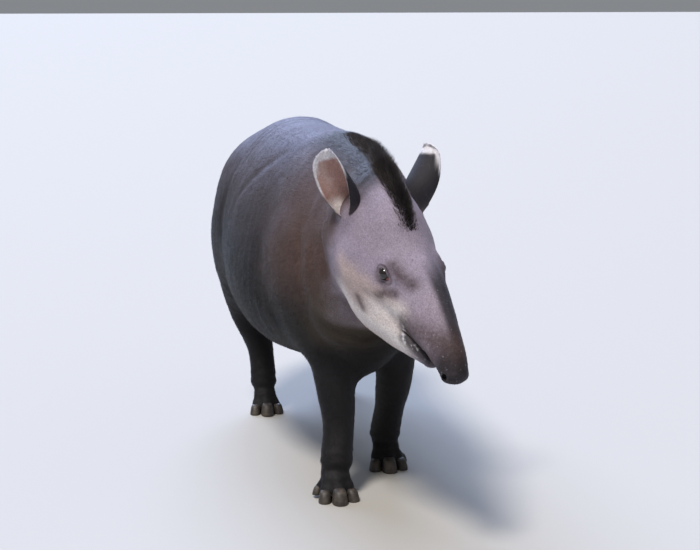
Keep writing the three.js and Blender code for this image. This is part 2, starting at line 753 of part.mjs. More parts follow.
// A low core under the locks, which reaches less than half way to their tips
const CORE_STEPS = 12;
const CORE_HALF_WIDTH = 15;
const CORE_HEIGHT = 10;
function core() {
  const rings = range(CORE_STEPS + 1).map((i) => {
    const share = i / CORE_STEPS;
    const swell = Math.min(1, 0.3 + 4 * share, 0.3 + 4 * (1 - share));
    return [crestAt(share).point, CORE_HALF_WIDTH, CORE_HEIGHT * swell];
  });
  return strand(rings, CREST_LATERAL, 4);
}

// Repeatable random numbers from 0 to 1
function randomFrom(seed) {
  let state = seed;
  return () => {
    state = (state * 1664525 + 1013904223) % 4294967296;
    return state / 4294967296;
  };
}

// Each lock: [share of its length, half width, half thickness], the first ring sunk into the flesh
const LOCK_ROWS = [
  [-0.35, 0.4, 3.4],
  [0.3, 0.5, 3.6],
  [0.7, 0.36, 2.6],
  [1, 0.08, 0.9],
];
const LOCKS_ALONG = 15;
const MANE_ROWS = 3;
const MANE_ROW_STEP = 13;
const MANE_SEED = 11;
function locks() {
  const random = randomFrom(MANE_SEED);
  return range(LOCKS_ALONG * MANE_ROWS).map((n) => {
    const row = n % MANE_ROWS;
    const aside = row - (MANE_ROWS - 1) / 2;
    const offset = aside * MANE_ROW_STEP;
    const along = (Math.floor(n / MANE_ROWS) + row / MANE_ROWS + 0.3 * random()) / LOCKS_ALONG;
    const { point, up } = crestAt(along, offset);
    const back = unit(sub(crestAt(along + 0.02, offset).point, crestAt(along - 0.02, offset).point));
    const lateral = scale(CREST_LATERAL, 0.22 * aside + 0.12 * (random() - 0.5));
    const ends = Math.min(1, 0.55 + 3 * along, 0.6 + 3 * (1 - along));
    const size = LOCK_LENGTH * (0.85 + 0.35 * random()) * ends;
    const rings = LOCK_ROWS.map(([share, half, thick]) => {
      const rise = scale(up, size * (0.9 * share - 0.22 * share * share));
      const lean = scale(back, size * (0.3 * share + 0.42 * share * Math.abs(share)));
      const spread = scale(lateral, size * share);
      return [add(add(point, rise), add(lean, spread)), half * LOCK_WIDTH, thick];
    });
    return { point, solid: strand(rings, back, 4) };
  });
}

const maneCore = core();
const maneLocks = locks();
// What the mane adds to the node between these planes: the core, and the locks that are rooted in it
const maneIn = (planes) => {
  const mine = ({ point }) => planes.every(([origin, normal]) => dot(sub(point, origin), normal) < 0);
  return [maneCore, ...maneLocks.filter(mine).map((lock) => lock.solid)];
};

// Colours and finish, sRGB
const look = (color, roughness) => ({ color, roughness, metalness: 0 });
const COAT = look(0x4a4540, 0.8);
const COAT_DARK = look(0x35312e, 0.8);
const COAT_PALE = look(0x8a817c, 0.8);
const EAR_COAT = look(0x3a3636, 0.75);
const HORN = look(0x2a2522, 0.5);
const EYE = look(0x0d0a09, 0.08);

const nodes = [];
const node = (name, solid, finish) => nodes.push({ name, solid, finish });

const legBlock = (leg, bottom, top, by) => {
  const [x0, x1] = leg.front ? [170, 425] : [-690, -305];
  const inner = leg.front ? (leg.lateral > 0 ? 74 : -18) : 42;
  const y = [inner, 400].map((v) => v * leg.lateral).sort((a, b) => a - b);
  return blockIn(world, [x0 - by, y[0] - by, bottom], [x1 + by, y[1] + by, top]);
};
const levelBlock = (low, high) => blockIn(world, [-2000, -2000, low], [2000, 2000, high]);
const legRoom = legList.map((leg) => legBlock(leg, -50, LEG_TOP + GAP / 2, GAP / 2));

const tailFrame = frameAt(add(tailRoot, [-4, 0, 2]), sub(tailTip, tailRoot), [0, 1, 0]);
const tailBlock = (by) => blockIn(tailFrame, [-by, -34 - by, -26 - by], [160, 34 + by, 26 + by]);

node(
  "torso_chest",
  flesh({
    field: neckField,
    cell: TRUNK_CELL,
    box: [
      [CHEST_REAR, -300, 250],
      [430, 320, 930],
    ],
    planes: [neckPlane, behind(across(CHEST_REAR))],
    without: legRoom,
    adding: maneIn([neckPlane]),
  }),
  COAT,
);
node(
  "torso_belly",
  flesh({
    field: torsoField,
    cell: TRUNK_CELL,
    box: [
      [RUMP_FRONT, -310, 250],
      [CHEST_REAR, 310, 910],
    ],
    planes: [across(CHEST_REAR), behind(across(RUMP_FRONT))],
  }),
  COAT,
);
node(
  "torso_rump",
  flesh({
    field: torsoField,
    cell: TRUNK_CELL,
    box: [
      [-800, -310, 250],
      [RUMP_FRONT, 310, 920],
    ],
    planes: [across(RUMP_FRONT)],
    without: [...legRoom, tailBlock(GAP / 2)],
  }),
  COAT,
);
node(
  "tail",
  flesh({
    field: torsoField,
    cell: FOOT_CELL,
    box: boxAround(tailFrame, [0, -34, -26], [TAIL_LENGTH, 34, 26]),
    within: tailBlock(-GAP / 2),
  }),
  COAT,
);
node(
  "neck",
  flesh({
    field: neckField,
    cell: NECK_CELL,
    box: [
      [370, -230, 400],
      [600, 290, 920],
    ],
    planes: [behind(neckPlane), headPlane],
    adding: maneIn([behind(neckPlane), headPlane]),
  }),
  COAT,
);
const skullBody = flesh({
  field: headField,
  cell: HEAD_CELL,
  box: boxAround(head, [-30, -120, -235], [0.82 * HEAD_LENGTH, 120, 150]),
  planes: [behind(headPlane), behind(neckPlane), snoutPlane],
  without: [jawBlock(GAP, MOUTH_SLIT), ...eyes.map((eye) => ball(eye.frame, EYE_RADIUS + GAP))],
  adding: [...maneIn([behind(headPlane)]), ...lids],
});
node("head", largest(ears.reduce((rest, ear) => rest.subtract(bulbOf(ear, GAP)), skullBody)), COAT_PALE);
for (const ear of ears) node(ear.name, earOf(ear, skullBody), EAR_COAT);
node(
  "snout",
  flesh({
    field: headField,
    cell: SNOUT_CELL,
    box: boxAround(head, [0.76 * HEAD_LENGTH, -70, -150], [1.06 * HEAD_LENGTH, 70, 20]),
    planes: [behind(snoutPlane)],
    without: [jawBlock(GAP, MOUTH_SLIT), ...nostrils],
  }),
  COAT_DARK,
);
node(
  "lower_jaw",
  flesh({
    field: headField,
    cell: SNOUT_CELL,
    box: boxAround(mouth, [0, -80, -110], [JAW_LENGTH, 80, 10]),
    within: jawBlock(0, 0),
  }),
  COAT_PALE,
);
for (const eye of eyes) node(eye.side < 0 ? "eye_right" : "eye_left", ball(eye.frame, EYE_RADIUS), EYE);

for (const [place, leg] of Object.entries(legs)) {
  const name = place.replace(/^(fore|hind)_/, "$1leg_");
  const middle = leg.front ? JOINT_LEVEL.front : JOINT_LEVEL.rear;
  const around = (low, high) => {
    const near = leg.stations.filter((row) => row[2] > low - 90 && row[2] < high + 90);
    const side = (k, s) => near.map((row) => row[k] + s * LEG_MARGIN);
    return [
      [Math.min(...side(0, -1)), Math.min(...side(1, -1)), low],
      [Math.max(...side(0, 1)), Math.max(...side(1, 1)), high],
    ];
  };
  const bone = (low, high, cell, within) =>
    flesh({ field: torsoField, cell, box: around(low, high), within });
  const thigh = legBlock(leg, middle + GAP / 2, LEG_TOP - GAP / 2, -GAP / 2);
  node(name + "_upper", bone(middle, LEG_TOP, LEG_CELL, thigh), COAT);
  const shank = levelBlock(ANKLE + GAP / 2, middle - GAP / 2);
  node(name + "_lower", bone(ANKLE, middle, SHANK_CELL, shank), COAT_DARK);
  const foot = flesh({
    field: fieldOf(leg.parts),
    cell: FOOT_CELL,
    box: [
      [leg.foot[0] - 70, leg.foot[1] - 95, 0],
      [leg.foot[0] + 115, leg.foot[1] + 95, ANKLE],
    ],
    within: levelBlock(0, ANKLE - GAP / 2),
    without: leg.toes.map((toe) => hoofOf(toe, GAP)),
  });
  node(name + "_foot", foot, COAT_DARK);
  for (const toe of leg.toes) node(name + "_hoof_" + toe.name, hoofOf(toe), HORN);
}

function geometryOf(solid) {
  const { numProp, numVert, vertProperties, triVerts } = solid.getMesh();
  const points = new Float32Array(numVert * 3);
  for (const i of range(numVert)) points.set(vertProperties.subarray(i * numProp, i * numProp + 3), i * 3);
  const geometry = new THREE.BufferGeometry();
  geometry.setAttribute("position", new THREE.BufferAttribute(points, 3));
  geometry.setIndex(new THREE.BufferAttribute(new Uint32Array(triVerts), 1));
  return geometry;
}

const group = new THREE.Group();
for (const { name, solid, finish } of nodes) {
  const mesh = new THREE.Mesh(geometryOf(solid), new THREE.MeshStandardMaterial(finish));
  mesh.name = name;
  group.add(mesh);
}
const bounds = new THREE.Box3().setFromObject(group);
const middle = bounds.getCenter(new THREE.Vector3());
group.position.set(-middle.x, -middle.y, -bounds.min.z);

export default group;
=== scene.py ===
import math

import bmesh
import bpy
import numpy as np
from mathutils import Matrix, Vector
from mathutils.bvhtree import BVHTree


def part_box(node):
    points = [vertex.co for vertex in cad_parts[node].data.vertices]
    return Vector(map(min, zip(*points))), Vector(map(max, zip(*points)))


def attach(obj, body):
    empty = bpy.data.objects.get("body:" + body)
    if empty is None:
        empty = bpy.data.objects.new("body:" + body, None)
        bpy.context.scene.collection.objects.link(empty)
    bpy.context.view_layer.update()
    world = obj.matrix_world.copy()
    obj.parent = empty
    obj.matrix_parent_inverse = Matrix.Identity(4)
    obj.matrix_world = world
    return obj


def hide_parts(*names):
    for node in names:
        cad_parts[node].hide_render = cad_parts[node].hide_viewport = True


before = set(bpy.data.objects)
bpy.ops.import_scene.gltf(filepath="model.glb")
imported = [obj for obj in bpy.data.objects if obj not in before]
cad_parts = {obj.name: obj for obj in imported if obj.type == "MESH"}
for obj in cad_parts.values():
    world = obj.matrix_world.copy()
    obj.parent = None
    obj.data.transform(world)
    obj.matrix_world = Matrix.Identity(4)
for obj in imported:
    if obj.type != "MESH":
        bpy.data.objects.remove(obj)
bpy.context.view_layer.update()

# A lowland tapir that stands with its head low. Shapes are worked out in millimetres in the animal's own
# frame, +X forward, +Y its left, +Z up, and are moved to the row frame in metres at the end.
rng = np.random.default_rng(7)

WITHERS_HEIGHT = 885
RUMP_HEIGHT = 893
TRUNK_LENGTH = 1090
TRUNK_WIDTH = 530
TRUNK_REAR = -670
HEAD_LENGTH = 480
HEAD_WIDTH = 184
HEAD_PITCH = 26
HEAD_TURN = 17
EAR_LENGTH = 155
EAR_WIDTH = 88
EYE_RADIUS = 16
TAIL_LENGTH = 95
FETLOCK = 88
COAT_DEPTH = 2.0
STEPS_PER_STATION = 5
SIDES = (("right", -1), ("left", 1))


def vec(*v):
    return np.array(v, float)


def unit(v):
    v = np.asarray(v, float)
    return v / np.linalg.norm(v)


def norms(rows):
    return np.linalg.norm(rows, axis=1)


def unit_rows(v):
    return v / np.maximum(norms(v), 1e-9)[:, None]


def frame_at(origin, forward, left_hint):
    f = unit(forward)
    up = unit(np.cross(f, left_hint))
    return {"origin": np.asarray(origin, float), "axes": np.array([f, np.cross(up, f), up])}


def placed(f, point):
    return f["origin"] + np.asarray(point, float) @ f["axes"]


def in_frame(f, points):
    return (np.asarray(points, float) - f["origin"]) @ f["axes"].T


def value_along(rows, share):
    rows = np.asarray(rows, float)
    at = min(max(share, 0), 1) * (len(rows) - 1)
    i = min(int(at), len(rows) - 2)
    t = at - i
    before, v, after_one = rows[max(i - 1, 0)], rows[i], rows[i + 1]
    after = rows[min(i + 2, len(rows) - 1)]
    slope = after_one - before
    bend = 2 * before - 5 * v + 4 * after_one - after
    twist = 3 * v - before - 3 * after_one + after
    return 0.5 * (2 * v + slope * t + bend * t * t + twist * t ** 3)


# The field: how far a point lies outside the flesh. Each part knows the ball that it lies in
def limb(stations, side, blend, caps=(1, 1), power=2.0, pear=0.0):
    count = (len(stations) - 1) * STEPS_PER_STATION
    rows = np.array([value_along(stations, i / count) for i in range(count + 1)])
    ends = [caps[0] * rows[0][3], caps[1] * rows[-1][3]]
    steps = [frame_at(rows[i][:3], rows[i + 1][:3] - rows[i][:3], side)["axes"] for i in range(count)]
    axes = np.array(steps)
    centre = (rows[0][:3] + rows[-1][:3]) / 2
    radius = (norms(rows[:, :3] - centre) + rows[:, 3:].max(1)).max()

    def distance(p):
        best = np.full(len(p), np.inf)
        near = np.zeros(len(p))
        raw = np.zeros(len(p))
        for i in range(count):
            start = rows[i][:3]
            reach = rows[i + 1][:3] - start
            d = p - start
            share = d @ reach / (reach @ reach)
            t = share.clip(0, 1)
            gap = ((d - t[:, None] * reach) ** 2).sum(1)
            closer = gap < best
            best[closer] = gap[closer]
            near[closer] = i + t[closer]
            raw[closer] = share[closer]
        i = np.minimum(near.astype(int), count - 1)
        row = rows[i] + (rows[i + 1] - rows[i]) * (near - i)[:, None]
        d = p - row[:, :3]
        b = (d * axes[i, 2]).sum(1)
        tall = np.where(b > 0, row[:, 4], row[:, 5])
        a = (d * axes[i, 1]).sum(1) / (1 - pear * (b / tall).clip(-1, 1))
        at_start = (near == 0) & (raw < 0)
        past = np.where(at_start | (near == count), (d * axes[i, 0]).sum(1), 0)
        end = np.where(near == 0, ends[0], ends[1])
        q = (np.abs(a / row[:, 3]) ** power + np.abs(b / tall) ** power + np.abs(past / end) ** power)
        q = np.maximum(q ** (1 / power), 1e-6)
        away = np.sqrt(a * a + b * b + past * past)
        return away - away / q

    return {"distance": distance, "blend": blend, "centre": centre, "radius": radius}


def muscle(at, radii, blend, forward=(1, 0, 0), left=(0, 1, 0)):
    f = frame_at(at, forward, left)
    radii = np.asarray(radii, float)

    def distance(p):
        l = in_frame(f, p)
        q = np.maximum(norms(l / radii), 1e-6)
        away = norms(l)
        return away - away / q

    return {"distance": distance, "blend": blend, "centre": f["origin"], "radius": radii.max()}


def smooth_min(a, b, k):
    h = np.maximum(k - np.abs(a - b), 0) / k
    return np.minimum(a, b) - h * h * k / 4


def field(parts, p):
    d = np.full(len(p), 1e4)
    for part in parts:
        nearest = norms(p - part["centre"]) - part["radius"]
        on = nearest < d + part["blend"]
        if on.any():
            d[on] = smooth_min(d[on], part["distance"](p[on]), part["blend"])
    return d


def trunk_row(along, across, middle, wide, up, down):
    height = WITHERS_HEIGHT
    x = TRUNK_REAR + along * TRUNK_LENGTH
    return [x, across * TRUNK_WIDTH, middle * height, wide * TRUNK_WIDTH / 2, up * height, down * height]


trunk = limb([
    trunk_row(0.0, 0, 0.715, 0.54, 0.15, 0.2),
    trunk_row(0.13, -0.01, 0.73, 0.74, 0.235, 0.265),
    trunk_row(0.3, -0.02, 0.725, 0.83, RUMP_HEIGHT / WITHERS_HEIGHT - 0.725, 0.335),
    trunk_row(0.48, -0.02, 0.68, 0.88, 0.329, 0.345),
    trunk_row(0.66, 0, 0.675, 0.86, 0.324, 0.35),
    trunk_row(0.83, 0.035, 0.69, 0.72, 0.31, 0.33),
    trunk_row(0.95, 0.07, 0.697, 0.58, 0.252, 0.29),
], side=(0, 1, 0), blend=60, caps=(0.6, 0.7), power=2.35, pear=0.26)
haunches = [muscle((-455, s * 118, 565), (200, 108, 215), 100, (1, 0, -0.25)) for s in (-1, 1)]
shoulders = [muscle((262, 14 + s * 94, 590), (105, 72, 200), 80, (1, 0, 0.25)) for s in (-1, 1)]
brisket = muscle((316, 36, 385), (114, 76, 95), 60, (1, 0, 0.2))

pitch, yaw = math.radians(HEAD_PITCH), math.radians(HEAD_TURN)
head_forward = vec(math.cos(pitch) * math.cos(yaw), math.cos(pitch) * math.sin(yaw), -math.sin(pitch))
head = frame_at((530, 14, 0.798 * WITHERS_HEIGHT), head_forward, (-math.sin(yaw), math.cos(yaw), 0))
HEAD_UNITS = vec(HEAD_LENGTH, HEAD_WIDTH / 2, HEAD_LENGTH)


def on_head(x, y, z):
    return placed(head, vec(x, y, z) * HEAD_UNITS)


def head_row(along, middle, wide, up, down):
    return [*on_head(along, 0, middle), wide * HEAD_WIDTH / 2, up * HEAD_LENGTH, down * HEAD_LENGTH]


def head_muscle(at, radii, blend):
    return muscle(on_head(*at), radii, blend, head["axes"][0], head["axes"][1])


neck = limb([
    [200, 14, 640, 146, 212, 180],
    [320, 18, 660, 130, 192, 185],
    [430, 18, 682, 112, 166, 168],
    [520, 20, 696, 100, 142, 140],
    [600, 40, 680, 88, 116, 100],
], side=(-0.1, 0.99, 0), blend=90, caps=(0.8, 0.8), pear=0.24)
nuchal_crest = limb([
    [240, 24, 815, 50, 60, 60],
    [340, 32, 806, 46, 60, 60],
    [430, 38, 800, 42, 63, 60],
    [520, 42, 790, 38, 68, 60],
    [*on_head(0.04, 0, 0.13), 34, 64, 60],
    [*on_head(0.2, 0, 0.1), 26, 48, 50],
], side=(-0.15, 0.98, 0), blend=50, caps=(0.9, 0.9))
skull = limb([
    head_row(-0.03, 0.0, 0.9, 0.21, 0.17),
    head_row(0.16, -0.02, 1.0, 0.215, 0.19),
    head_row(0.38, -0.03, 0.92, 0.18, 0.165),
    head_row(0.56, -0.05, 0.72, 0.152, 0.142),
    head_row(0.74, -0.09, 0.53, 0.118, 0.108),
    head_row(0.88, -0.14, 0.42, 0.09, 0.076),
    head_row(0.945, -0.185, 0.36, 0.07, 0.056),
], side=head["axes"][1], blend=70, caps=(0.8, 0.72), power=2.05, pear=0.16)
jawbone = limb([
    head_row(0.08, -0.16, 0.94, 0.12, 0.21),
    head_row(0.26, -0.19, 0.9, 0.12, 0.235),
    head_row(0.44, -0.215, 0.72, 0.11, 0.18),
    head_row(0.62, -0.235, 0.47, 0.075, 0.1),
    head_row(0.755, -0.245, 0.27, 0.042, 0.04),
], side=head["axes"][1], blend=24, caps=(0.8, 0.9), power=2.3)
cheek_size = (0.2 * HEAD_LENGTH, 0.24 * HEAD_WIDTH, 0.16 * HEAD_LENGTH)
cheeks = [head_muscle((0.2, s * 0.5, -0.11), cheek_size, 50) for s in (-1, 1)]
brows = [head_muscle((0.41, s * 0.61, 0.03), (38, 15, 25), 30) for s in (-1, 1)]

# Legs: where the foot stands, then stations from the trunk down to the fetlock,
# each [x, y, z, half side, half forward, half back]
LEGS = {
    "fore_right": ((392, -50), [
        [262, -96, 620, 66, 100, 90], [270, -84, 500, 64, 78, 80], [304, -54, 370, 54, 56, 60],
        [334, -36, 250, 49, 47, 46], [352, -34, 165, 41, 38, 40], [382, -44, FETLOCK, 42, 38, 40],
    ]),
    "fore_left": ((170, 126), [
        [246, 132, 620, 66, 100, 90], [236, 138, 500, 64, 78, 80], [240, 142, 370, 54, 56, 60],
        [230, 138, 250, 49, 47, 46], [192, 134, 165, 41, 38, 40], [164, 128, FETLOCK, 42, 38, 40],
    ]),
    "hind_right": ((-420, -114), [
        [-480, -116, 690, 90, 150, 140], [-425, -142, 540, 98, 124, 142], [-445, -156, 405, 84, 84, 94],
        [-492, -144, 290, 62, 50, 62], [-470, -117, 180, 40, 38, 41], [-434, -114, FETLOCK, 41, 38, 40],
    ]),
    "hind_left": ((-590, 128), [
        [-480, 116, 690, 90, 150, 140], [-456, 142, 540, 98, 124, 142], [-512, 154, 405, 82, 84, 94],
        [-594, 148, 290, 60, 50, 62], [-606, 136, 180, 40, 38, 41], [-604, 130, FETLOCK, 41, 38, 40],
    ]),
}

# Toes: [forward, outward, turn outwards in degrees, half width, hoof length, hoof width, hoof height, lift]
FORE_TOES = {
    "inner": (50, -35, -16, 18, 37, 30, 28, 0),
    "middle": (68, 0, 0, 20, 45, 36, 34, 0),
    "outer": (50, 35, 16, 18, 37, 30, 28, 0),
    "fourth": (8, 47, 48, 13, 25, 21, 20, 8),
}
HIND_TOES = {
    "inner": (48, -34, -16, 17, 36, 29, 27, 0),
    "middle": (66, 0, 0, 20, 44, 35, 33, 0),
    "outer": (48, 34, 16, 17, 36, 29, 27, 0),
}
bones, feet, toes = [], [], []
for place, (foot_at, stations) in LEGS.items():
    in_front = place.startswith("fore")
    lateral = -1 if place.endswith("right") else 1
    bones.append(limb(stations, (0, 1, 0), 60 if in_front else 70))
    foot = vec(*foot_at, 0)
    feet.append(muscle((foot[0] + 6, foot[1], 20), (42, 38, 27), 18))
    for name, size in (FORE_TOES if in_front else HIND_TOES).items():
        forward, outward, turn, half, hoof_length, hoof_width, hoof_height, lift = size
        angle = math.radians(turn * lateral)
        heading = vec(math.cos(angle), math.sin(angle), 0)
        reach = vec(forward, outward * lateral, 0)
        tip = foot + vec(reach[0], reach[1], lift + 12)
        knuckle = foot + vec(reach[0] * 0.45, reach[1] * 0.6, 42)
        base = foot + vec(-10, reach[1] * 0.25, FETLOCK - 10)
        end = knuckle + (tip - knuckle) * 0.8
        feet.append(
            limb([
                [*base, half * 1.1, half * 1.2, half],
                [*knuckle, half * 1.05, half * 0.95, half],
                [*end, half * 0.95, half * 0.55, half * 0.8],
            ], (-heading[1], heading[0], 0), 9)
        )
        node = place.replace("_", "leg_") + "_hoof_" + name
        toes.append({"node": node, "heading": heading, "tip": tip, "lift": lift, "length": hoof_length,
                     "width": hoof_width, "height": hoof_height})

tail_root = vec(-758, 0, 0.803 * WITHERS_HEIGHT)
tail_tip = tail_root + unit((-0.42, 0, -0.91)) * TAIL_LENGTH * 0.8
tail = limb(
    [[*(tail_root + vec(70, 0, 32)), 32, 30, 32], [*tail_root, 22, 19, 22], [*tail_tip, 11, 9, 11]],
    (0, 1, 0), 24,
)
HEAD_PARTS = [trunk, *haunches, *shoulders, brisket, neck, nuchal_crest, skull, *cheeks, *brows, jawbone]


def surface_point(parts, start, direction):
    p = np.array([start], float)
    for _ in range(40):
        d = field(parts, p)[0]
        if abs(d) < 0.05:
            break
        p = p + np.asarray(direction) * max(min(d * 0.8, 30), -30)
    return p[0]


# Ears: where each is rooted, where it reaches and where its cup opens
EARS = {}
for name, s, height, reach, opening in (
    ("right", -1, (0.02, 0.21), (-0.12, -0.3, 0.95), (0.62, -0.78, 0.13)),
    ("left", 1, (0.005, 0.195), (-0.15, 0.17, 0.96), (-0.42, 0.9, -0.11)),
):
    inner = on_head(0.05, s * 0.4, height[0])
    outer = on_head(0.05, s * 1.6, height[1])
    inward = unit(inner - outer)
    up = unit(reach)
    side = unit(np.cross(up, opening))
    EARS[name] = {"base": surface_point(HEAD_PARTS, outer, inward), "inward": inward,
                  "up": up, "side": side, "facing": np.cross(side, up)}
ear_roots = [
    muscle(e["base"] + e["inward"] * 12 - e["facing"] * 4, (30, 27, 27), 26, e["up"], e["side"])
    for e in EARS.values()
]
ALL_PARTS = [*HEAD_PARTS, *bones, tail, *feet, *ear_roots]

# Eyes, mouth and nostrils on the head
EYES = {}
for name, s in SIDES:
    outward = unit(vec(0.46, s, 0.1) @ head["axes"])
    EYES[name] = frame_at(on_head(0.42, s * 0.76, 0.02), outward, -s * head["axes"][0])

eye_low, eye_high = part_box("eye_right")
SHIFT = np.array((eye_low + eye_high) / 2) * 1000 - EYES["right"]["origin"]


def row_frame(points):
    return (np.asarray(points, float) + SHIFT) / 1000


# Seeded gradient noise on points, from -1 to 1
def noise_table(seed):
    r = np.random.default_rng(seed)
    g = r.normal(size=(256, 3))
    return r.permutation(256), g / norms(g)[:, None]


def noise(points, size, seed=0):
    order, gradients = noise_table(seed)
    q = points / size
    cell = np.floor(q).astype(int)
    f = q - cell
    w = f * f * f * (f * (f * 6 - 15) + 10)
    total = np.zeros(len(q))
    for corner in np.ndindex(2, 2, 2):
        c = cell + corner
        h = order[(order[(order[c[:, 0] & 255] + c[:, 1]) & 255] + c[:, 2]) & 255]
        value = (gradients[h] * (f - corner)).sum(1)
        weight = np.prod(np.where(corner, w, 1 - w), axis=1)
        total += value * weight
    return 1.5 * total


def smooth(x, low, high):
    t = ((np.asarray(x, float) - low) / (high - low)).clip(0, 1)
    return t * t * (3 - 2 * t)


def line_distance(points, line):
    """Distance from points to a line of points, and the share of the way along it."""
    line = np.asarray(line, float)
    best = np.full(len(points), np.inf)
    share = np.zeros(len(points))
    for i in range(len(line) - 1):
        reach = line[i + 1] - line[i]
        t = ((points - line[i]) @ reach / (reach @ reach)).clip(0, 1)
        d = norms(points - line[i] - t[:, None] * reach)
        closer = d < best
        best[closer] = d[closer]
        share[closer] = (i + t[closer]) / (len(line) - 1)
    return best, share


def bell(d, width):
    return np.exp(-(d / width) ** 2)


def on_trunk(middle):
    return lambda x, y, z: vec(x, middle + y, z)


def both_sides(points, width, height, place=on_head):
    return [([place(x, s * y, z) for x, y, z in points], width, height) for s in (-1, 1)]


# Creases and ridges on both sides of the head: width, height and a line. Below 0 it is a crease
HEAD_FOLDS = [
    # lids, the groove over the eye, and bags under it
    (6, 2.4, (0.36, 0.98, 0.075), (0.42, 0.98, 0.085), (0.49, 0.9, 0.065)),
    (5, 1.8, (0.37, 1.0, -0.03), (0.42, 1.0, -0.045), (0.49, 0.92, -0.03)),
    (4, -2.0, (0.36, 1.0, -0.05), (0.42, 1.0, -0.066), (0.5, 0.88, -0.05)),
    (4, -1.3, (0.37, 1.0, -0.078), (0.43, 1.0, -0.092), (0.5, 0.88, -0.08)),
    (6, -2.6, (0.5, 0.9, 0.02), (0.54, 0.85, 0.0), (0.58, 0.78, -0.03)),
    (9, 2.6, (0.5, 0.84, 0.06), (0.57, 0.74, 0.045), (0.64, 0.62, 0.02)),
    # the hollow under the cheekbone, the groove beside the proboscis, and folds behind the nose
    (13, -2.4, (0.3, 0.9, -0.13), (0.42, 0.86, -0.135), (0.54, 0.72, -0.14)),
    (9, -2.2, (0.6, 0.66, -0.02), (0.7, 0.58, -0.06), (0.8, 0.5, -0.11)),
    (6, 2.2, (0.62, 0.5, -0.135), (0.68, 0.46, -0.15), (0.74, 0.44, -0.17)),
    (5, 2.6, (0.58, 0.6, -0.15), (0.6, 0.56, -0.2), (0.595, 0.5, -0.24)),
    (4, -1.2, (0.84, 0.1, -0.05), (0.85, 0.32, -0.09), (0.86, 0.42, -0.15)),
    (4, -1.2, (0.88, 0.1, -0.07), (0.89, 0.3, -0.11), (0.895, 0.4, -0.17)),
    (4, -0.9, (0.79, 0.2, -0.03), (0.8, 0.36, -0.07), (0.81, 0.44, -0.13)),
    # the edge of the jaw, and the folds of the throat behind it
    (14, -3.4, (0.1, 0.86, -0.3), (0.26, 0.78, -0.34), (0.44, 0.6, -0.32), (0.57, 0.42, -0.28)),
    (12, -5, (-0.14, 1.0, -0.1), (-0.06, 1.05, -0.22), (0.0, 0.9, -0.34), (0.06, 0.6, -0.44)),
    (14, 3, (-0.24, 1.1, -0.16), (-0.17, 1.15, -0.3), (-0.09, 1.0, -0.44), (0.0, 0.7, -0.54)),
    (12, -3.5, (-0.36, 1.0, -0.2), (-0.26, 1.15, -0.32), (-0.17, 1.1, -0.46), (-0.08, 0.8, -0.56)),
]
# Loose folds of the breast
BREAST_FOLDS = [
    (11, -5, (434, -89, 448), (450, -48, 430), (454, 1, 416), (448, 60, 424)),
    (11, -5, (392, -72, 388), (426, -31, 381), (443, 18, 383), (430, 70, 392)),
    (12, 4, (416, -80, 418), (440, -40, 404), (450, 8, 398), (442, 64, 408)),
]
# The same on the trunk, each starting with how far left its middle line lies
TRUNK_FOLDS = [
    # the flank's crease, and the folds behind the elbows and before the thighs
    (-10, 17, -4, (76, 98, 838), (14, 142, 798), (-77, 184, 742), (-163, 213, 683), (-184, 228, 632)),
    (14, 20, -7, (170, 168, 560), (168, 172, 470), (190, 150, 390)),
    (14, 22, -5, (350, 130, 690), (352, 140, 600), (336, 140, 500)),
    (-8, 20, -7, (-262, 226, 500), (-290, 226, 430), (-330, 200, 360)),
    (-8, 26, -4, (-330, 225, 700), (-318, 240, 600), (-290, 236, 520)),
]
FOLDS = [fold for width, height, *line in HEAD_FOLDS for fold in both_sides(line, width, height)]
FOLDS += [([vec(*at) for at in line], width, height) for width, height, *line in BREAST_FOLDS]
FOLDS += [fold for middle, width, height, *line in TRUNK_FOLDS
          for fold in both_sides(line, width, height, on_trunk(middle))]


def relief(points):
    """Small forms of the skin, in millimetres outwards."""
    out = 1.8 * noise(points, 95, 1) + 0.9 * noise(points, 42, 2) + 0.35 * noise(points, 17, 3)
    foot = smooth(points[:, 2], 150, 90)
    out += foot * 0.8 * np.sin(points[:, 2] / 4.2 + 2 * noise(points, 40, 4))
    for line, width, height in FOLDS:
        low = np.min(line, axis=0) - 4 * width
        high = np.max(line, axis=0) + 4 * width
        on = ((points > low) & (points < high)).all(1)
        if on.any():
            d, share = line_distance(points[on], line)
            taper = np.minimum(1, 3 * np.minimum(share, 1 - share) + 0.25)
            out[on] += height * taper * bell(d, width)
    return out


# Surface nets: one point in each grid cell that the surface crosses
BASE_CELL = 10.0
BLOCK = 4
BAND = 50


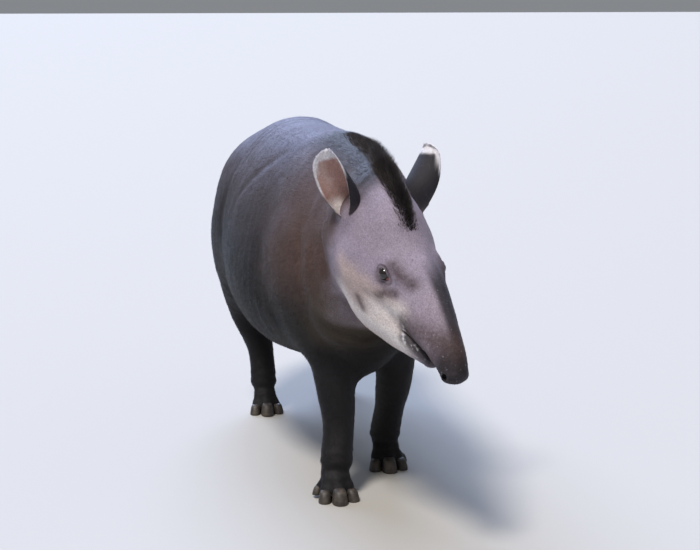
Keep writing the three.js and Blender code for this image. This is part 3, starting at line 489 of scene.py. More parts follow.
def surface_net(parts, low, high):
    cells = np.ceil((high - low) / (BASE_CELL * BLOCK)).astype(int)
    middle = (np.indices(cells).reshape(3, -1).T + 0.5) * BASE_CELL * BLOCK + low
    rough = field(parts, middle).reshape(cells)
    values = np.repeat(np.repeat(np.repeat(rough, BLOCK, 0), BLOCK, 1), BLOCK, 2)
    values = np.pad(values, ((0, 1), (0, 1), (0, 1)), constant_values=BAND)
    near = np.argwhere(np.abs(rough) < BAND) * BLOCK
    steps = np.indices([BLOCK + 1] * 3).reshape(3, -1).T
    wanted = (near[:, None] + steps).reshape(-1, 3)
    flat = np.unique(np.ravel_multi_index(wanted.T, values.shape))
    at = np.array(np.unravel_index(flat, values.shape)).T * BASE_CELL + low
    values.ravel()[flat] = field(parts, at)
    inside = values < 0
    shape = values.shape
    total = np.zeros((values.size, 3))
    count = np.zeros(values.size)
    quads = []
    for axis in range(3):
        here = [slice(None)] * 3
        there = [slice(None)] * 3
        here[axis], there[axis] = slice(0, -1), slice(1, None)
        crossed = np.argwhere(inside[tuple(here)] != inside[tuple(there)])
        step = np.eye(3, dtype=int)[axis]
        a, b = values[tuple(crossed.T)], values[tuple((crossed + step).T)]
        point = crossed + step * (a / (a - b))[:, None]
        u, w = np.eye(3, dtype=int)[[(axis + 1) % 3, (axis + 2) % 3]]
        ring = [np.ravel_multi_index((crossed - o).T, shape) for o in (0 * u, u, u + w, w)]
        for cell in ring:
            np.add.at(total, cell, point)
            np.add.at(count, cell, 1)
        ring = np.array(ring).T
        outwards = a < 0
        quads.append(np.where(outwards[:, None], ring, ring[:, ::-1]))
    used = np.flatnonzero(count)
    vertex = np.full(values.size, -1)
    vertex[used] = np.arange(len(used))
    points = total[used] / count[used][:, None] * BASE_CELL + low
    return points, vertex[np.vstack(quads)]


def coordinates(me):
    co = np.zeros(len(me.vertices) * 3)
    me.vertices.foreach_get("co", co)
    return co.reshape(-1, 3)


def normals_of(me):
    n = np.zeros(len(me.vertices) * 3)
    me.vertex_normals.foreach_get("vector", n)
    return n.reshape(-1, 3)


def move_to(me, points):
    me.vertices.foreach_set("co", np.asarray(points, float).ravel())
    me.update()


def settle(me, rounds):
    """Moves each point along its normal onto the flesh, with its small forms, less the coat's depth."""
    for _ in range(rounds):
        p, n = coordinates(me), normals_of(me)
        off = field(ALL_PARTS, p) + COAT_DEPTH - relief(p)
        p = p - n * off.clip(-4, 4)[:, None]
        p[:, 2] = np.maximum(p[:, 2], 0)
        move_to(me, p)


def subdivide(me, wanted):
    bm = bmesh.new()
    bm.from_mesh(me)
    centres = np.array([f.calc_center_median() for f in bm.faces])
    chosen = wanted(centres)
    edges = list({e for f, yes in zip(bm.faces, chosen) if yes for e in f.edges})
    bmesh.ops.subdivide_edges(bm, edges=edges, cuts=1, use_grid_fill=True)
    bm.to_mesh(me)
    bm.free()
    me.update()


def on_face(p):
    q = in_frame(head, p)
    return (q[:, 0] > -40) & (p[:, 2] > 380)


def around(frames, p, reach):
    return np.any([norms(p - f["origin"]) < reach for f in frames], axis=0)


MOUTH_CORNER = on_head(0.585, 0, -0.193)
LIP_FRONT = on_head(0.81, 0, -0.215)
mouth = frame_at(MOUTH_CORNER, LIP_FRONT - MOUTH_CORNER, head["axes"][1])
MOUTH_LENGTH = 0.25 * HEAD_LENGTH


def around_mouth(p, reach):
    q = in_frame(mouth, p)
    return (np.abs(q[:, 2]) < reach) & (q[:, 0] > -12) & (q[:, 0] < MOUTH_LENGTH + 14)


NOSTRILS = [
    frame_at(on_head(0.95, s * 0.29, -0.19), vec(0.75, s * 0.6, 0.0) @ head["axes"], head["axes"][1])
    for s in (-1, 1)
]
NOSTRIL_SIZE = vec(15, 7.5, 10)


def nostril_share(f, p):
    return norms(in_frame(f, p) / NOSTRIL_SIZE)


def linked(name, data):
    ob = bpy.data.objects.new(name, data)
    bpy.context.scene.collection.objects.link(ob)
    return ob


low, high = vec(-900, -320, -40), vec(1060, 330, 960)
points, quads = surface_net(ALL_PARTS, low, high)
skin_mesh = bpy.data.meshes.new("skin")
skin_mesh.from_pydata(points.tolist(), [], quads.tolist())
skin_mesh.update()
skin = linked("skin", skin_mesh)
settle(skin_mesh, 2)

skin_mesh.uv_layers.new(name="OFBake")
bpy.context.view_layer.objects.active = skin
skin.select_set(True)
bpy.ops.object.mode_set(mode="EDIT")
bpy.ops.mesh.select_all(action="SELECT")
bpy.ops.uv.smart_project(angle_limit=math.radians(60), island_margin=0.004)
bpy.ops.object.mode_set(mode="OBJECT")

subdivide(skin_mesh, lambda p: p[:, 2] > -99)
settle(skin_mesh, 1)
subdivide(skin_mesh, on_face)
settle(skin_mesh, 1)
subdivide(skin_mesh, lambda p: around(EYES.values(), p, 42) | around_mouth(p, 12) | around(NOSTRILS, p, 30))
settle(skin_mesh, 1)
subdivide(skin_mesh, lambda p: around(EYES.values(), p, 24))


# The lids round each eyeball, the line of the mouth and the nostrils
OPENING_LENGTH = 13.5
OPENING_ABOVE = 9.5
OPENING_BELOW = 8.5
LID = 2.6


def from_lip_line(q):
    """How far a point in the mouth's frame lies above or below the wavy line where the lips meet."""
    return np.abs(q[:, 2] - 2.5 * np.sin(q[:, 0] / 19))


def opening_share(q, s):
    """1 on the edge of the lids, less inside the opening."""
    u = -s * q[:, 1]
    v = q[:, 2] + 0.2 * u
    height = np.where(v > 0, OPENING_ABOVE, OPENING_BELOW)
    length = np.where(u > 0, OPENING_LENGTH + 2.5, OPENING_LENGTH)
    return (np.abs(u / length) ** 1.8 + np.abs(v / height) ** 1.8) ** (1 / 1.8)


def carve(p, n):
    p = p.copy()
    for name, s in SIDES:
        q = in_frame(EYES[name], p)
        r = norms(q)
        near = (q[:, 0] > 2) & (r < 44)
        share = opening_share(q, s)
        lid_at = EYE_RADIUS + LID - 0.3
        wanted = EYE_RADIUS - 5 + (lid_at - EYE_RADIUS + 5) * smooth(share, 0.9, 1.06)
        hold = 1 - smooth(share, 1.25, 2.3)
        crease = np.where(q[:, 2] > 0, 2.6, 2.2) * bell(share - 1.72, 0.2) * (share > 1)
        new = r + (wanted - r) * hold - crease
        p[near] = (EYES[name]["origin"] + (q * (new / r)[:, None]) @ EYES[name]["axes"])[near]
    q = in_frame(mouth, p)
    along = smooth(q[:, 0], -6, 14) * (1 - smooth(q[:, 0], MOUTH_LENGTH - 4, MOUTH_LENGTH + 10))
    off = from_lip_line(q)
    inwards = along * (7 * bell(off, 2.6) - 1.6 * bell(off - 6.5, 3.5))
    side = head["axes"][1] * np.sign(q[:, 1])[:, None] * smooth(np.abs(q[:, 1]), 0, 12)[:, None]
    way = unit_rows(side * 0.8 + head["axes"][0] * 0.45 * smooth(q[:, 0], 60, 120)[:, None] + 0.05 * n)
    p = p - way * inwards[:, None]
    for f in NOSTRILS:
        share = nostril_share(f, p)
        deep = 13 * (1 - smooth(share, 0.35, 1.05)) - 1.2 * bell(share - 1.35, 0.28)
        p = p - f["axes"][0] * deep[:, None]
    return p


move_to(skin_mesh, carve(coordinates(skin_mesh), normals_of(skin_mesh)))


# Materials
def linear(r, g, b):
    c = np.array([r, g, b], float) / 255
    return np.where(c <= 0.04045, c / 12.92, ((c + 0.055) / 1.055) ** 2.4)


def material(name):
    m = bpy.data.materials.new(name)
    m.use_nodes = True
    return m, m.node_tree, m.node_tree.nodes["Principled BSDF"]


def set_inputs(node, values):
    for name, value in values.items():
        node.inputs[name].default_value = value


def mapped(tree, size):
    where = tree.nodes.new("ShaderNodeTexCoord")
    turn = tree.nodes.new("ShaderNodeMapping")
    turn.inputs["Scale"].default_value = size
    tree.links.new(where.outputs["Object"], turn.inputs["Vector"])
    return turn.outputs["Vector"]


def noise_node(tree, scale, detail, size=(1, 1, 1)):
    n = tree.nodes.new("ShaderNodeTexNoise")
    set_inputs(n, {"Scale": scale, "Detail": detail, "Roughness": 0.55})
    tree.links.new(mapped(tree, size), n.inputs["Vector"])
    return n.outputs["Fac"]


def ranged(tree, value, low, high, out_low, out_high):
    n = tree.nodes.new("ShaderNodeMapRange")
    set_inputs(n, {"From Min": low, "From Max": high, "To Min": out_low, "To Max": out_high})
    tree.links.new(value, n.inputs["Value"])
    return n.outputs["Result"]


def mixed(tree, a, b, factor, blend="MULTIPLY"):
    n = tree.nodes.new("ShaderNodeMix")
    n.data_type = "RGBA"
    n.blend_type = blend
    for socket, value in ((n.inputs[6], a), (n.inputs[7], b)):
        if isinstance(value, tuple):
            socket.default_value = (*value, 1)
        else:
            tree.links.new(value, socket)
    if isinstance(factor, float):
        n.inputs[0].default_value = factor
    else:
        tree.links.new(factor, n.inputs[0])
    return n.outputs[2]


def painted(tree):
    n = tree.nodes.new("ShaderNodeAttribute")
    n.attribute_name = "tone"
    return n.outputs["Color"]


def grey(tree, value):
    n = tree.nodes.new("ShaderNodeCombineColor")
    for k in range(3):
        tree.links.new(value, n.inputs[k])
    return n.outputs[0]


def bumped(tree, shader, height, strength, distance, before=None):
    n = tree.nodes.new("ShaderNodeBump")
    set_inputs(n, {"Strength": strength, "Distance": distance})
    tree.links.new(height, n.inputs["Height"])
    if before:
        tree.links.new(before, n.inputs["Normal"])
    tree.links.new(n.outputs["Normal"], shader.inputs["Normal"])
    return n.outputs["Normal"]


FUR_SHEEN = {"Specular IOR Level": 0.22, "Sheen Roughness": 0.38, "Sheen Tint": (0.66, 0.76, 1.0, 1)}


def skin_material():
    m, tree, shader = material("short_coat")
    tone = painted(tree)
    streaks = noise_node(tree, 1.0, 3.0, (90, 420, 260))
    blotches = noise_node(tree, 14.0, 5.0)
    specks = noise_node(tree, 210.0, 2.0)
    dark = ranged(tree, streaks, 0.3, 0.75, 0.78, 1.16)
    wide = ranged(tree, blotches, 0.3, 0.7, 0.86, 1.12)
    fine = ranged(tree, specks, 0.35, 0.7, 0.88, 1.1)
    for shade in (dark, wide, fine):
        tone = mixed(tree, tone, grey(tree, shade), 1.0)
    tree.links.new(tone, shader.inputs["Base Color"])
    tree.links.new(ranged(tree, streaks, 0.2, 0.8, 0.5, 0.74), shader.inputs["Roughness"])
    set_inputs(shader, {**FUR_SHEEN, "Sheen Weight": 0.06})
    creases = tree.nodes.new("ShaderNodeTexVoronoi")
    creases.feature = "DISTANCE_TO_EDGE"
    creases.inputs["Scale"].default_value = 150.0
    tree.links.new(mapped(tree, (1.0, 1.3, 0.8)), creases.inputs["Vector"])
    cells = ranged(tree, creases.outputs["Distance"], 0.0, 0.12, 0.0, 1.0)
    first = bumped(tree, shader, cells, 0.16, 0.0012)
    second = bumped(tree, shader, streaks, 0.55, 0.0016, first)
    bumped(tree, shader, specks, 0.3, 0.0008, second)
    return m


def hair_material(name, roughness):
    m, tree, shader = material(name)
    streaks = noise_node(tree, 320.0, 2.0)
    shade = ranged(tree, streaks, 0.3, 0.7, 0.7, 1.25)
    tree.links.new(mixed(tree, painted(tree), grey(tree, shade), 1.0), shader.inputs["Base Color"])
    tree.links.new(ranged(tree, streaks, 0.3, 0.7, roughness - 0.08, roughness + 0.08),
              shader.inputs["Roughness"])
    set_inputs(shader, {**FUR_SHEEN, "Sheen Weight": 0.04})
    bumped(tree, shader, streaks, 0.4, 0.0004)
    return m


def hoof_material():
    m, tree, shader = material("horn")
    bands = noise_node(tree, 1.0, 3.0, (12, 12, 420))
    wear = noise_node(tree, 60.0, 4.0)
    color = mixed(tree, tuple(linear(52, 46, 42)), tuple(linear(88, 78, 68)),
                  ranged(tree, wear, 0.42, 0.75, 0.0, 0.8), "MIX")
    color = mixed(tree, color, grey(tree, ranged(tree, bands, 0.3, 0.7, 0.75, 1.2)), 1.0)
    tree.links.new(color, shader.inputs["Base Color"])
    tree.links.new(ranged(tree, wear, 0.3, 0.7, 0.42, 0.7), shader.inputs["Roughness"])
    first = bumped(tree, shader, bands, 0.5, 0.0012)
    bumped(tree, shader, wear, 0.3, 0.001, first)
    return m


def eye_material():
    m, tree, shader = material("eye")
    fibres = noise_node(tree, 900.0, 3.0)
    shade = ranged(tree, fibres, 0.3, 0.7, 0.7, 1.3)
    tree.links.new(mixed(tree, painted(tree), grey(tree, shade), 1.0), shader.inputs["Base Color"])
    tree.links.new(ranged(tree, fibres, 0.2, 0.8, 0.12, 0.2), shader.inputs["Roughness"])
    set_inputs(shader, {"Coat Weight": 1.0, "Coat Roughness": 0.03, "IOR": 1.38})
    bumped(tree, shader, fibres, 0.05, 0.0002)
    return m


SKIN = skin_material()
BRISTLE = hair_material("mane_bristles", 0.5)
SHORT_HAIR = hair_material("short_hair", 0.55)
HORN = hoof_material()
EYE = eye_material()


# The coat's colours, and the painted shade and sheen laid over them, as red, green and blue from 0 to 255
BODY = (60, 48, 46)
PAINTED_SKY_SHEEN = (104, 105, 130)
LOW_FLANK_SHADE = (13, 11, 11)
LEG = (23, 21, 23)
NECK = (84, 66, 61)
NAPE = (32, 29, 31)
THROAT_AND_SHADE = (78, 68, 56)
FOREHEAD = (150, 139, 155)
CHEEK = (190, 170, 165)
PALE = (228, 222, 220)
SNOUT_SIDE = (150, 137, 150)
SNOUT_TOP_AND_SHADE = (46, 43, 48)
SNOUT_TIP = (26, 24, 26)
MUZZLE_BROWN = (80, 63, 62)
PATCH_BROWN_AND_SHADE = (66, 49, 50)
LIP = (50, 45, 48)
EYE_RING = (112, 99, 108)
LID_EDGE_AND_CREASE_SHADE = (24, 20, 21)
EYE_CORNER = (168, 112, 106)
WHITE_HAIR = (226, 223, 228)
RECESS_SHADE = (18, 14, 15)


def laid_over(color, tone, weight):
    return color + (linear(*tone) - color) * np.clip(weight, 0, 1)[:, None]


def tone_at(p, n):
    """Colours of the skin and of the hair that grows on it. p in millimetres, n the normal."""
    q = in_frame(head, p) / HEAD_UNITS
    x, y, z = q.T
    on_right = y < 0
    y = np.abs(y)
    folded = np.column_stack([x, y, z]) * HEAD_UNITS

    def beside(width, *line):
        return bell(line_distance(folded, np.array(line) * HEAD_UNITS)[0], width)

    color = np.tile(linear(*BODY), (len(p), 1))

    def lay(tone, weight):
        nonlocal color
        color = laid_over(color, tone, weight)

    drift = 0.5 * noise(p, 60, 5) + 0.3 * noise(p, 22, 6)
    fine = noise(p, 7, 7)
    # the body: painted shade that darkens it downwards and towards the rump, a painted bluish sky sheen on
    # surfaces that face up, browner on shoulder and neck, and dark legs
    # painted shade: the lower body and the rump made darker
    lay(LOW_FLANK_SHADE, smooth(p[:, 2] + 45 * drift + 0.1 * p[:, 0], 790, 500))
    # painted sheen: a bluish sky reflection on surfaces that face up
    lay(PAINTED_SKY_SHEEN, smooth(n[:, 2] + 0.15 * drift, 0.35, 0.95) * 0.55)
    lay(NECK, smooth(p[:, 0] + 60 * drift, 90, 400) * smooth(p[:, 2], 420, 600) * 0.9)
    lay(LEG, smooth(p[:, 2] + 25 * drift, 400, 300))
    # the throat, in its own tone, darkened in part as painted shade under the head
    throat = beside(75, (-0.05, 0.2, -0.62), (0.06, 0.3, -0.5), (0.2, 0.2, -0.46))
    lay(THROAT_AND_SHADE, throat * smooth(p[:, 2], 340, 400) * 0.75)
    # the nape, dark and soft on both sides of the mane
    d, share = line_distance(p, CREST)
    lay(NAPE, (1 - smooth(d + 24 * drift, 30, 135)) * smooth(share, 0, 0.25) * 0.92)
    # the head, with a pale cheek and jaw
    zone = smooth(z, -0.58, -0.5)
    lay(FOREHEAD, zone * smooth(x + 0.06 * drift, -0.06, 0.12) * 0.92)
    cheek = smooth(x + 0.04 * drift, 0.06, 0.2) * (1 - smooth(x, 0.56, 0.72))
    lay(CHEEK, cheek * smooth(z + 0.03 * drift, 0.0, -0.1) * zone * 0.9)
    pale = beside(30, (0.42, 0.9, -0.19), (0.5, 0.78, -0.15), (0.6, 0.66, -0.1))
    lay(PALE, pale * zone * 0.85)
    jaw = beside(38, (0.16, 0.86, -0.3), (0.28, 0.8, -0.33), (0.4, 0.68, -0.3), (0.52, 0.52, -0.27),
                 (0.62, 0.4, -0.25))
    lay(PALE, jaw * zone * smooth(z, -0.4, -0.36) * 0.9)
    # the throat's tone under and behind the jaw, also standing as painted shade beneath the jaw
    lay(THROAT_AND_SHADE, smooth(z, -0.35, -0.43) * smooth(x, -0.12, 0.02) * zone * 0.5)
    # the proboscis: brownish sides, dark above and at the tip, with painted shade over the left side of face
    # and snout
    lay(SNOUT_SIDE, smooth(x + 0.04 * drift, 0.56, 0.7) * (z > -0.21) * zone * 0.85)
    ridge = smooth(x, 0.46, 0.64) * smooth(n @ head["axes"][2] + 0.2 * drift, 0.3, 0.8)
    # on the left side the dark ridge reaches further down the side, as painted shade
    ridge = ridge * np.where(on_right, 1 - smooth(y, 0.0, 0.2), 1)
    lay(SNOUT_TOP_AND_SHADE, ridge * 0.92)
    # painted shade: the left side of the face and snout darkened
    lay(SNOUT_TOP_AND_SHADE, smooth(x, 0.34, 0.66) * (~on_right) * smooth(y, 0.0, 0.3) * zone * 0.85)
    lay(SNOUT_TIP, smooth(x + 0.03 * drift, 0.76, 0.93) * zone * 0.94)
    # the mouth: a dark, speckled lower lip, brown above, and a pale scuff at the right corner
    m = in_frame(mouth, p)
    near_mouth = around_mouth(p, 46) * smooth(m[:, 0], -26, 16)
    lay(MUZZLE_BROWN, bell(m[:, 2] - 17, 18) * near_mouth * 0.9)
    upper_lip = bell(z + 0.135 - 0.25 * (x - 0.586) + 0.02 * drift, 0.06) * smooth(x, 0.55, 0.61)
    lay(MUZZLE_BROWN, upper_lip * zone * (0.7 + 0.3 * fine))
    lay(LIP, bell(m[:, 2] + 11, 17) * near_mouth * smooth(m[:, 0], -10, 20) * 0.9)
    speck = smooth(fine, 0.42, 0.6) * bell(m[:, 2] + 8, 20) * near_mouth
    lay(PALE, speck * 0.5)
    scuff = beside(4.5, (0.592, 0.5, -0.165), (0.604, 0.47, -0.19), (0.612, 0.45, -0.22),
                   (0.632, 0.44, -0.235))
    lay(WHITE_HAIR, scuff * on_right * smooth(fine, -0.3, 0.1) * 0.9)
    # brown before the eye, which is also painted shade of the hollow there, a smudge on the cheek, and
    # specks on cheek and snout
    # painted shade in the hollow before the eye, in the brown of the patch there
    patch_and_hollow_shade = beside(12, (0.427, 0.87, -0.108), (0.475, 0.83, -0.05), (0.53, 0.73, -0.02))
    patch_and_hollow_shade = np.maximum(patch_and_hollow_shade, beside(17, (0.443, 0.71, 0.078), (0.505, 0.63, 0.058), (0.57, 0.47, 0.055)))
    lay(PATCH_BROWN_AND_SHADE, patch_and_hollow_shade * zone * (0.72 + 0.2 * fine))
    smudge = beside(12, (0.309, 0.97, -0.2), (0.316, 0.91, -0.225), (0.333, 0.85, -0.243)) * on_right
    lay(PATCH_BROWN_AND_SHADE, smudge * 0.75)
    lay(SNOUT_TOP_AND_SHADE, smooth(noise(p, 5, 8), 0.5, 0.75) * smooth(x, 0.2, 0.4) * zone * 0.4)
    lay(WHITE_HAIR, smooth(noise(p, 4.5, 10), 0.55, 0.8) * smooth(x, 0.55, 0.7) * zone * 0.3)
    # the ring round each eye, its dark lid edges with painted shade in the crease round the lids, and the
    # pink inner corner
    for name, s in SIDES:
        e = in_frame(EYES[name], p)
        ahead = -s * e[:, 1]
        out = e[:, 0] > -14
        ring = np.hypot((ahead - 1) / 25, (e[:, 2] + 5) / 21)
        lay(EYE_RING, (1 - smooth(ring, 0.75, 1.35)) * 0.8 * out)
        lid = opening_share(e, s)
        # painted shade in the crease round the lids
        lay(LID_EDGE_AND_CREASE_SHADE, bell(lid - 1.74, 0.17) * out * 0.5)
        lay(LID_EDGE_AND_CREASE_SHADE, (1 - smooth(lid, 1.0, 1.3)) * 0.92 * out)
        corner = bell(np.hypot(ahead - OPENING_LENGTH - 2, e[:, 2] + 3), 3.2) * out
        lay(EYE_CORNER, corner * 0.8)
    # painted shade inside the nostrils and along the slit of the mouth
    for f in NOSTRILS:
        lay(RECESS_SHADE, 1 - smooth(nostril_share(f, p), 0.6, 1.15))
    inner = (1 - smooth(from_lip_line(m), 1.0, 3.2)) * around_mouth(p, 12) * smooth(m[:, 0], -4, 8)
    lay(RECESS_SHADE, inner * 0.75)
    return color


MANE_LENGTH = 31
MANE_HALF_WIDTH = 11


# The crest's line from the forehead to the withers, dropped onto the flesh from above
CREST_HEAD = ((0.33, 0), (0.23, 0), (0.14, 0), (0.05, 0.05), (-0.04, 0.1))
CREST_NECK = ((450, 40), (400, 36), (340, 32), (280, 27), (225, 22))
CREST_ENDS = [(on_head(x, 0, 0.5), on_head(x, y, 0)) for x, y in CREST_HEAD]
CREST_ENDS += [(vec(x, y, 1100), vec(x, y, 700)) for x, y in CREST_NECK]
CREST = np.array([surface_point(HEAD_PARTS, above, unit(below - above)) for above, below in CREST_ENDS])


def paint(me, colors):
    layer = me.color_attributes.new("tone", "FLOAT_COLOR", "POINT")
    layer.data.foreach_set("color", np.column_stack([colors, np.ones(len(colors))]).ravel())


def finished(ob, material, slot, *nodes, smooth_faces=True):
    """Takes a piece from millimetres to the row frame, and says what it rides on and stands for."""
    me = ob.data
    move_to(me, row_frame(coordinates(me)))
    me.materials.append(material)
    me.polygons.foreach_set("use_smooth", np.full(len(me.polygons), smooth_faces))
    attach(ob, "root")
    if nodes:
        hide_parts(*nodes)


def tube_faces(rings, sides):
    """The faces between closed rings of points."""
    faces = []
    for i in range(rings):
        for k in range(sides):
            a, b = i * sides + k, i * sides + (k + 1) % sides
            faces.append((a, b, b + sides, a + sides))
    return faces


def piece(name, points, faces):
    me = bpy.data.meshes.new(name)
    me.from_pydata(np.asarray(points).tolist(), [], faces)
    me.update()
    return linked(name, me)


# Eyeballs, with a cornea, an iris and a dark pupil
def eyeball(name, s):
    f = EYES[name]
    rings, sides = 28, 40
    gaze = unit(vec(1, -s * 0.16, -0.03))
    points = []
    for i in range(rings + 1):
        tilt = math.pi * i / rings
        for k in range(sides):
            turn = 2 * math.pi * k / sides
            local = vec(math.cos(tilt), math.sin(tilt) * math.cos(turn), math.sin(tilt) * math.sin(turn))
            off = math.degrees(math.acos(min(max(local @ gaze, -1), 1)))
            bulge = 1 + 0.045 * float(1 - smooth(off, 20, 44))
            points.append(placed(f, local * (EYE_RADIUS - 0.3) * bulge))
    ob = piece("eyeball_" + name, points, tube_faces(rings, sides))
    weld(ob.data)
    p = in_frame(f, coordinates(ob.data))
    off = np.degrees(np.arccos((p @ gaze / norms(p)).clip(-1, 1)))
    iris = (1 - smooth(off, 36, 44))[:, None]
    pupil = (1 - smooth(off, 18, 23))[:, None]
    c = linear(20, 15, 14) * (1 - iris) + linear(30, 20, 16) * iris
    paint(ob.data, c * (1 - pupil) + linear(7, 6, 9) * pupil)
    finished(ob, EYE, "eye", "eye_" + name)


def weld(me):
    bm = bmesh.new()
    bm.from_mesh(me)
    bmesh.ops.remove_doubles(bm, verts=bm.verts, dist=1e-4)
    bmesh.ops.recalc_face_normals(bm, faces=bm.faces)
    bm.to_mesh(me)
    bm.free()


# Ears: thin cups on a stalk that widens into the head
EAR_ROWS = [
    (-0.2, 0.5, 176), (-0.1, 0.52, 170), (0, 0.58, 150), (0.12, 0.76, 132), (0.32, 0.94, 114), (0.52, 1, 94),
    (0.72, 0.95, 76), (0.88, 0.76, 62), (0.96, 0.48, 52), (1, 0.2, 46),
]
EAR_ACROSS = 36
EAR_UP = 54


def ear_shape(name):
    """Points of the outer and the inner face in rows, and each row's share of the ear's length."""
    e = EARS[name]
    outer, inner, shares = [], [], []
    for i in range(EAR_UP + 1):
        along, wide, spread = value_along(EAR_ROWS, i / EAR_UP)
        half = wide * EAR_WIDTH / 2
        arc = math.radians(spread)
        radius = half / math.sin(min(arc, math.pi / 2))
        middle = radius * math.cos(arc) + 0.5 * radius
        thick = 4.4 - 2.6 * max(along, 0) + 3 * max(-along, 0) * 5
        for face, rows in ((0, outer), (thick, inner)):
            turns = arc * np.linspace(-1, 1, EAR_ACROSS + 1)
            edge = 1 - np.abs(turns / arc) ** 6 * (0.35 if face else 0)
            r = radius - face * edge
            curl = 2.4 * np.abs(turns / arc) ** 4 * (along > 0.1)
            x, y = np.sin(turns) * r, middle - np.cos(turns) * r - curl
            centre = e["base"] + e["up"] * along * EAR_LENGTH
            rows.append(centre + np.outer(x, e["side"]) + np.outer(y, e["facing"]))
        shares.append(along)
    return np.array(outer), np.array(inner), np.array(shares)


def ear(name):
    outer, inner, shares = ear_shape(name)
    rows, columns = outer.shape[:2]
    points = np.vstack([outer.reshape(-1, 3), inner.reshape(-1, 3)])
    second = rows * columns
    faces = []
    for i in range(rows - 1):
        for k in range(columns - 1):
            a = i * columns + k
            faces.append((a, a + 1, a + columns + 1, a + columns))
            faces.append((second + a, second + a + columns, second + a + columns + 1, second + a + 1))
        for k in (0, columns - 1):
            a = i * columns + k
            ring = (a, a + columns, second + a + columns, second + a)
            faces.append(ring if k == 0 else ring[::-1])
    for i in (0, rows - 1):
        for k in range(columns - 1):
            a = i * columns + k
            ring = (a, a + 1, second + a + 1, second + a)
            faces.append(ring[::-1] if i == 0 else ring)
    ob = piece("ear_shell_" + name, points, faces)
    weld(ob.data)
    within = np.arange(len(points)) >= second
    paint(ob.data, ear_tone(points, np.concatenate([np.repeat(shares, columns)] * 2),
                            np.tile(np.linspace(-1, 1, columns), 2 * rows), within))
    finished(ob, SKIN, "ear", "ear_" + name)
    ear_hair(name, outer, inner, shares)


def ear_tone(p, along, across, within):
    """Dark behind, pinkish brown within with a painted highlight across the cup, with a white rim at the tip
    and a pale lobe.
    """
    edge = np.abs(across)
    drift = noise(p, 16, 9)
    back = laid_over(np.tile(linear(46, 43, 48), (len(p), 1)), (98, 88, 90), smooth(along, 0.16, -0.08))
    inside = laid_over(np.tile(linear(168, 132, 124), (len(p), 1)), (96, 72, 68), smooth(along, 0.5, 0.08))
    # painted highlight: a lighter band across the inside of the cup
    painted_highlight = bell(edge - 0.55 + 0.2 * drift, 0.2) * smooth(along, 0.2, 0.6)
    inside = laid_over(inside, (196, 176, 170), painted_highlight * 0.55)
    color = np.where(within[:, None], inside, back)
    side_rim = smooth(edge, 0.88, 0.95) * smooth(along, 0.25, 0.5)
    side_rim = side_rim * np.where(within, 1, smooth(along, 0.5, 0.7))
    tip_rim = smooth(along + 0.02 * drift, 0.84, 0.9) + smooth(along, 0.6, 0.86) * smooth(edge, 0.66, 0.86)
    color = laid_over(color, WHITE_HAIR, np.maximum(side_rim, tip_rim.clip(0, 1)))
    lobe = smooth(edge, 0.2, 0.5) * (1 - smooth(along + 0.03 * drift, 0.17, 0.34)) * within
    return laid_over(color, (214, 205, 203), lobe * 0.9)


def between_rows(grid, i, k):
    """A point at a broken place of a grid of points, and the grid's two directions there."""
    a, b = np.minimum(i.astype(int), grid.shape[0] - 2), np.minimum(k.astype(int), grid.shape[1] - 2)
    u, v = (i - a)[:, None], (k - b)[:, None]
    low = grid[a, b] * (1 - v) + grid[a, b + 1] * v
    high = grid[a + 1, b] * (1 - v) + grid[a + 1, b + 1] * v
    return low * (1 - u) + high * u, unit_rows(high - low), unit_rows(grid[a, b + 1] - grid[a, b])


def ear_hair(name, outer, inner, shares):
    rows, columns = outer.shape[:2]
    first = np.searchsorted(shares, 0.0)
    sets = []
    for grid, within, count, rim, length, lift in (
        (outer, False, 5600, False, 4.0, 0.15), (inner, True, 1700, False, 8.0, 0.3),
        (outer, False, 3000, True, 3.4, 0.5), (inner, True, 2600, True, 4.0, 0.5),
    ):
        i = first + rng.random(count) * (rows - 1.001 - first)
        k = rng.random(count) * (columns - 1.001)
        if rim:
            i = np.where(rng.random(count) < 0.5, rows - 1.001 - 7 * rng.random(count) ** 2, i)
            k = np.where(rng.random(count) < 0.5, 0, columns - 1.001) + 0 * i
            k = np.clip(k + 2.5 * rng.normal(size=count), 0, columns - 1.001)
        at, up, side = between_rows(grid, i, k)
        n = unit_rows(np.cross(side, up)) * (-1 if within else 1)
        across = k / (columns - 1) - 0.5
        outwards = side * (np.sign(across) * smooth(np.abs(across), 0.3, 0.5))[:, None]
        way = unit_rows((0.5 if rim else 1) * up + lift * n + (1.2 if rim else 0.5) * outwards
                        + 0.2 * rng.normal(size=(count, 3)))
        along = np.interp(i, np.arange(rows), shares)
        tone = ear_tone(at, along, 2 * across, np.full(count, within))
        spot = np.column_stack([(0.52 if within else 0.02) + 0.46 * k / columns, 0.02 + 0.96 * i / rows])
        sets.append((at, way, side, length * (0.6 + 0.7 * rng.random(count)), spot,
                     tone * (0.8 + 0.4 * rng.random(count))[:, None]))
    at, way, side, lengths, spots, tones = (np.concatenate(part) for part in zip(*sets))
    side = unit_rows(side - way * (side * way).sum(1)[:, None])
    tufts("ear_hair_" + name, at, way, way * 0, side, lengths, 0.55 + 0 * lengths, spots, tones, 1,
          SHORT_HAIR, "ear")


# Hooves: rounded, sloping back, with a slight flare at the sole
HOOF_ROWS = [(0, 1.04, 1.06, 0), (0.06, 1.08, 1.1, 0), (0.3, 1.03, 1.06, 0.02), (0.6, 0.93, 0.98, 0.07),
             (0.85, 0.8, 0.88, 0.12), (1.0, 0.62, 0.72, 0.17), (1.06, 0.4, 0.5, 0.2)]
HOOF_SIDES = 32
HOOF_STEPS = 14


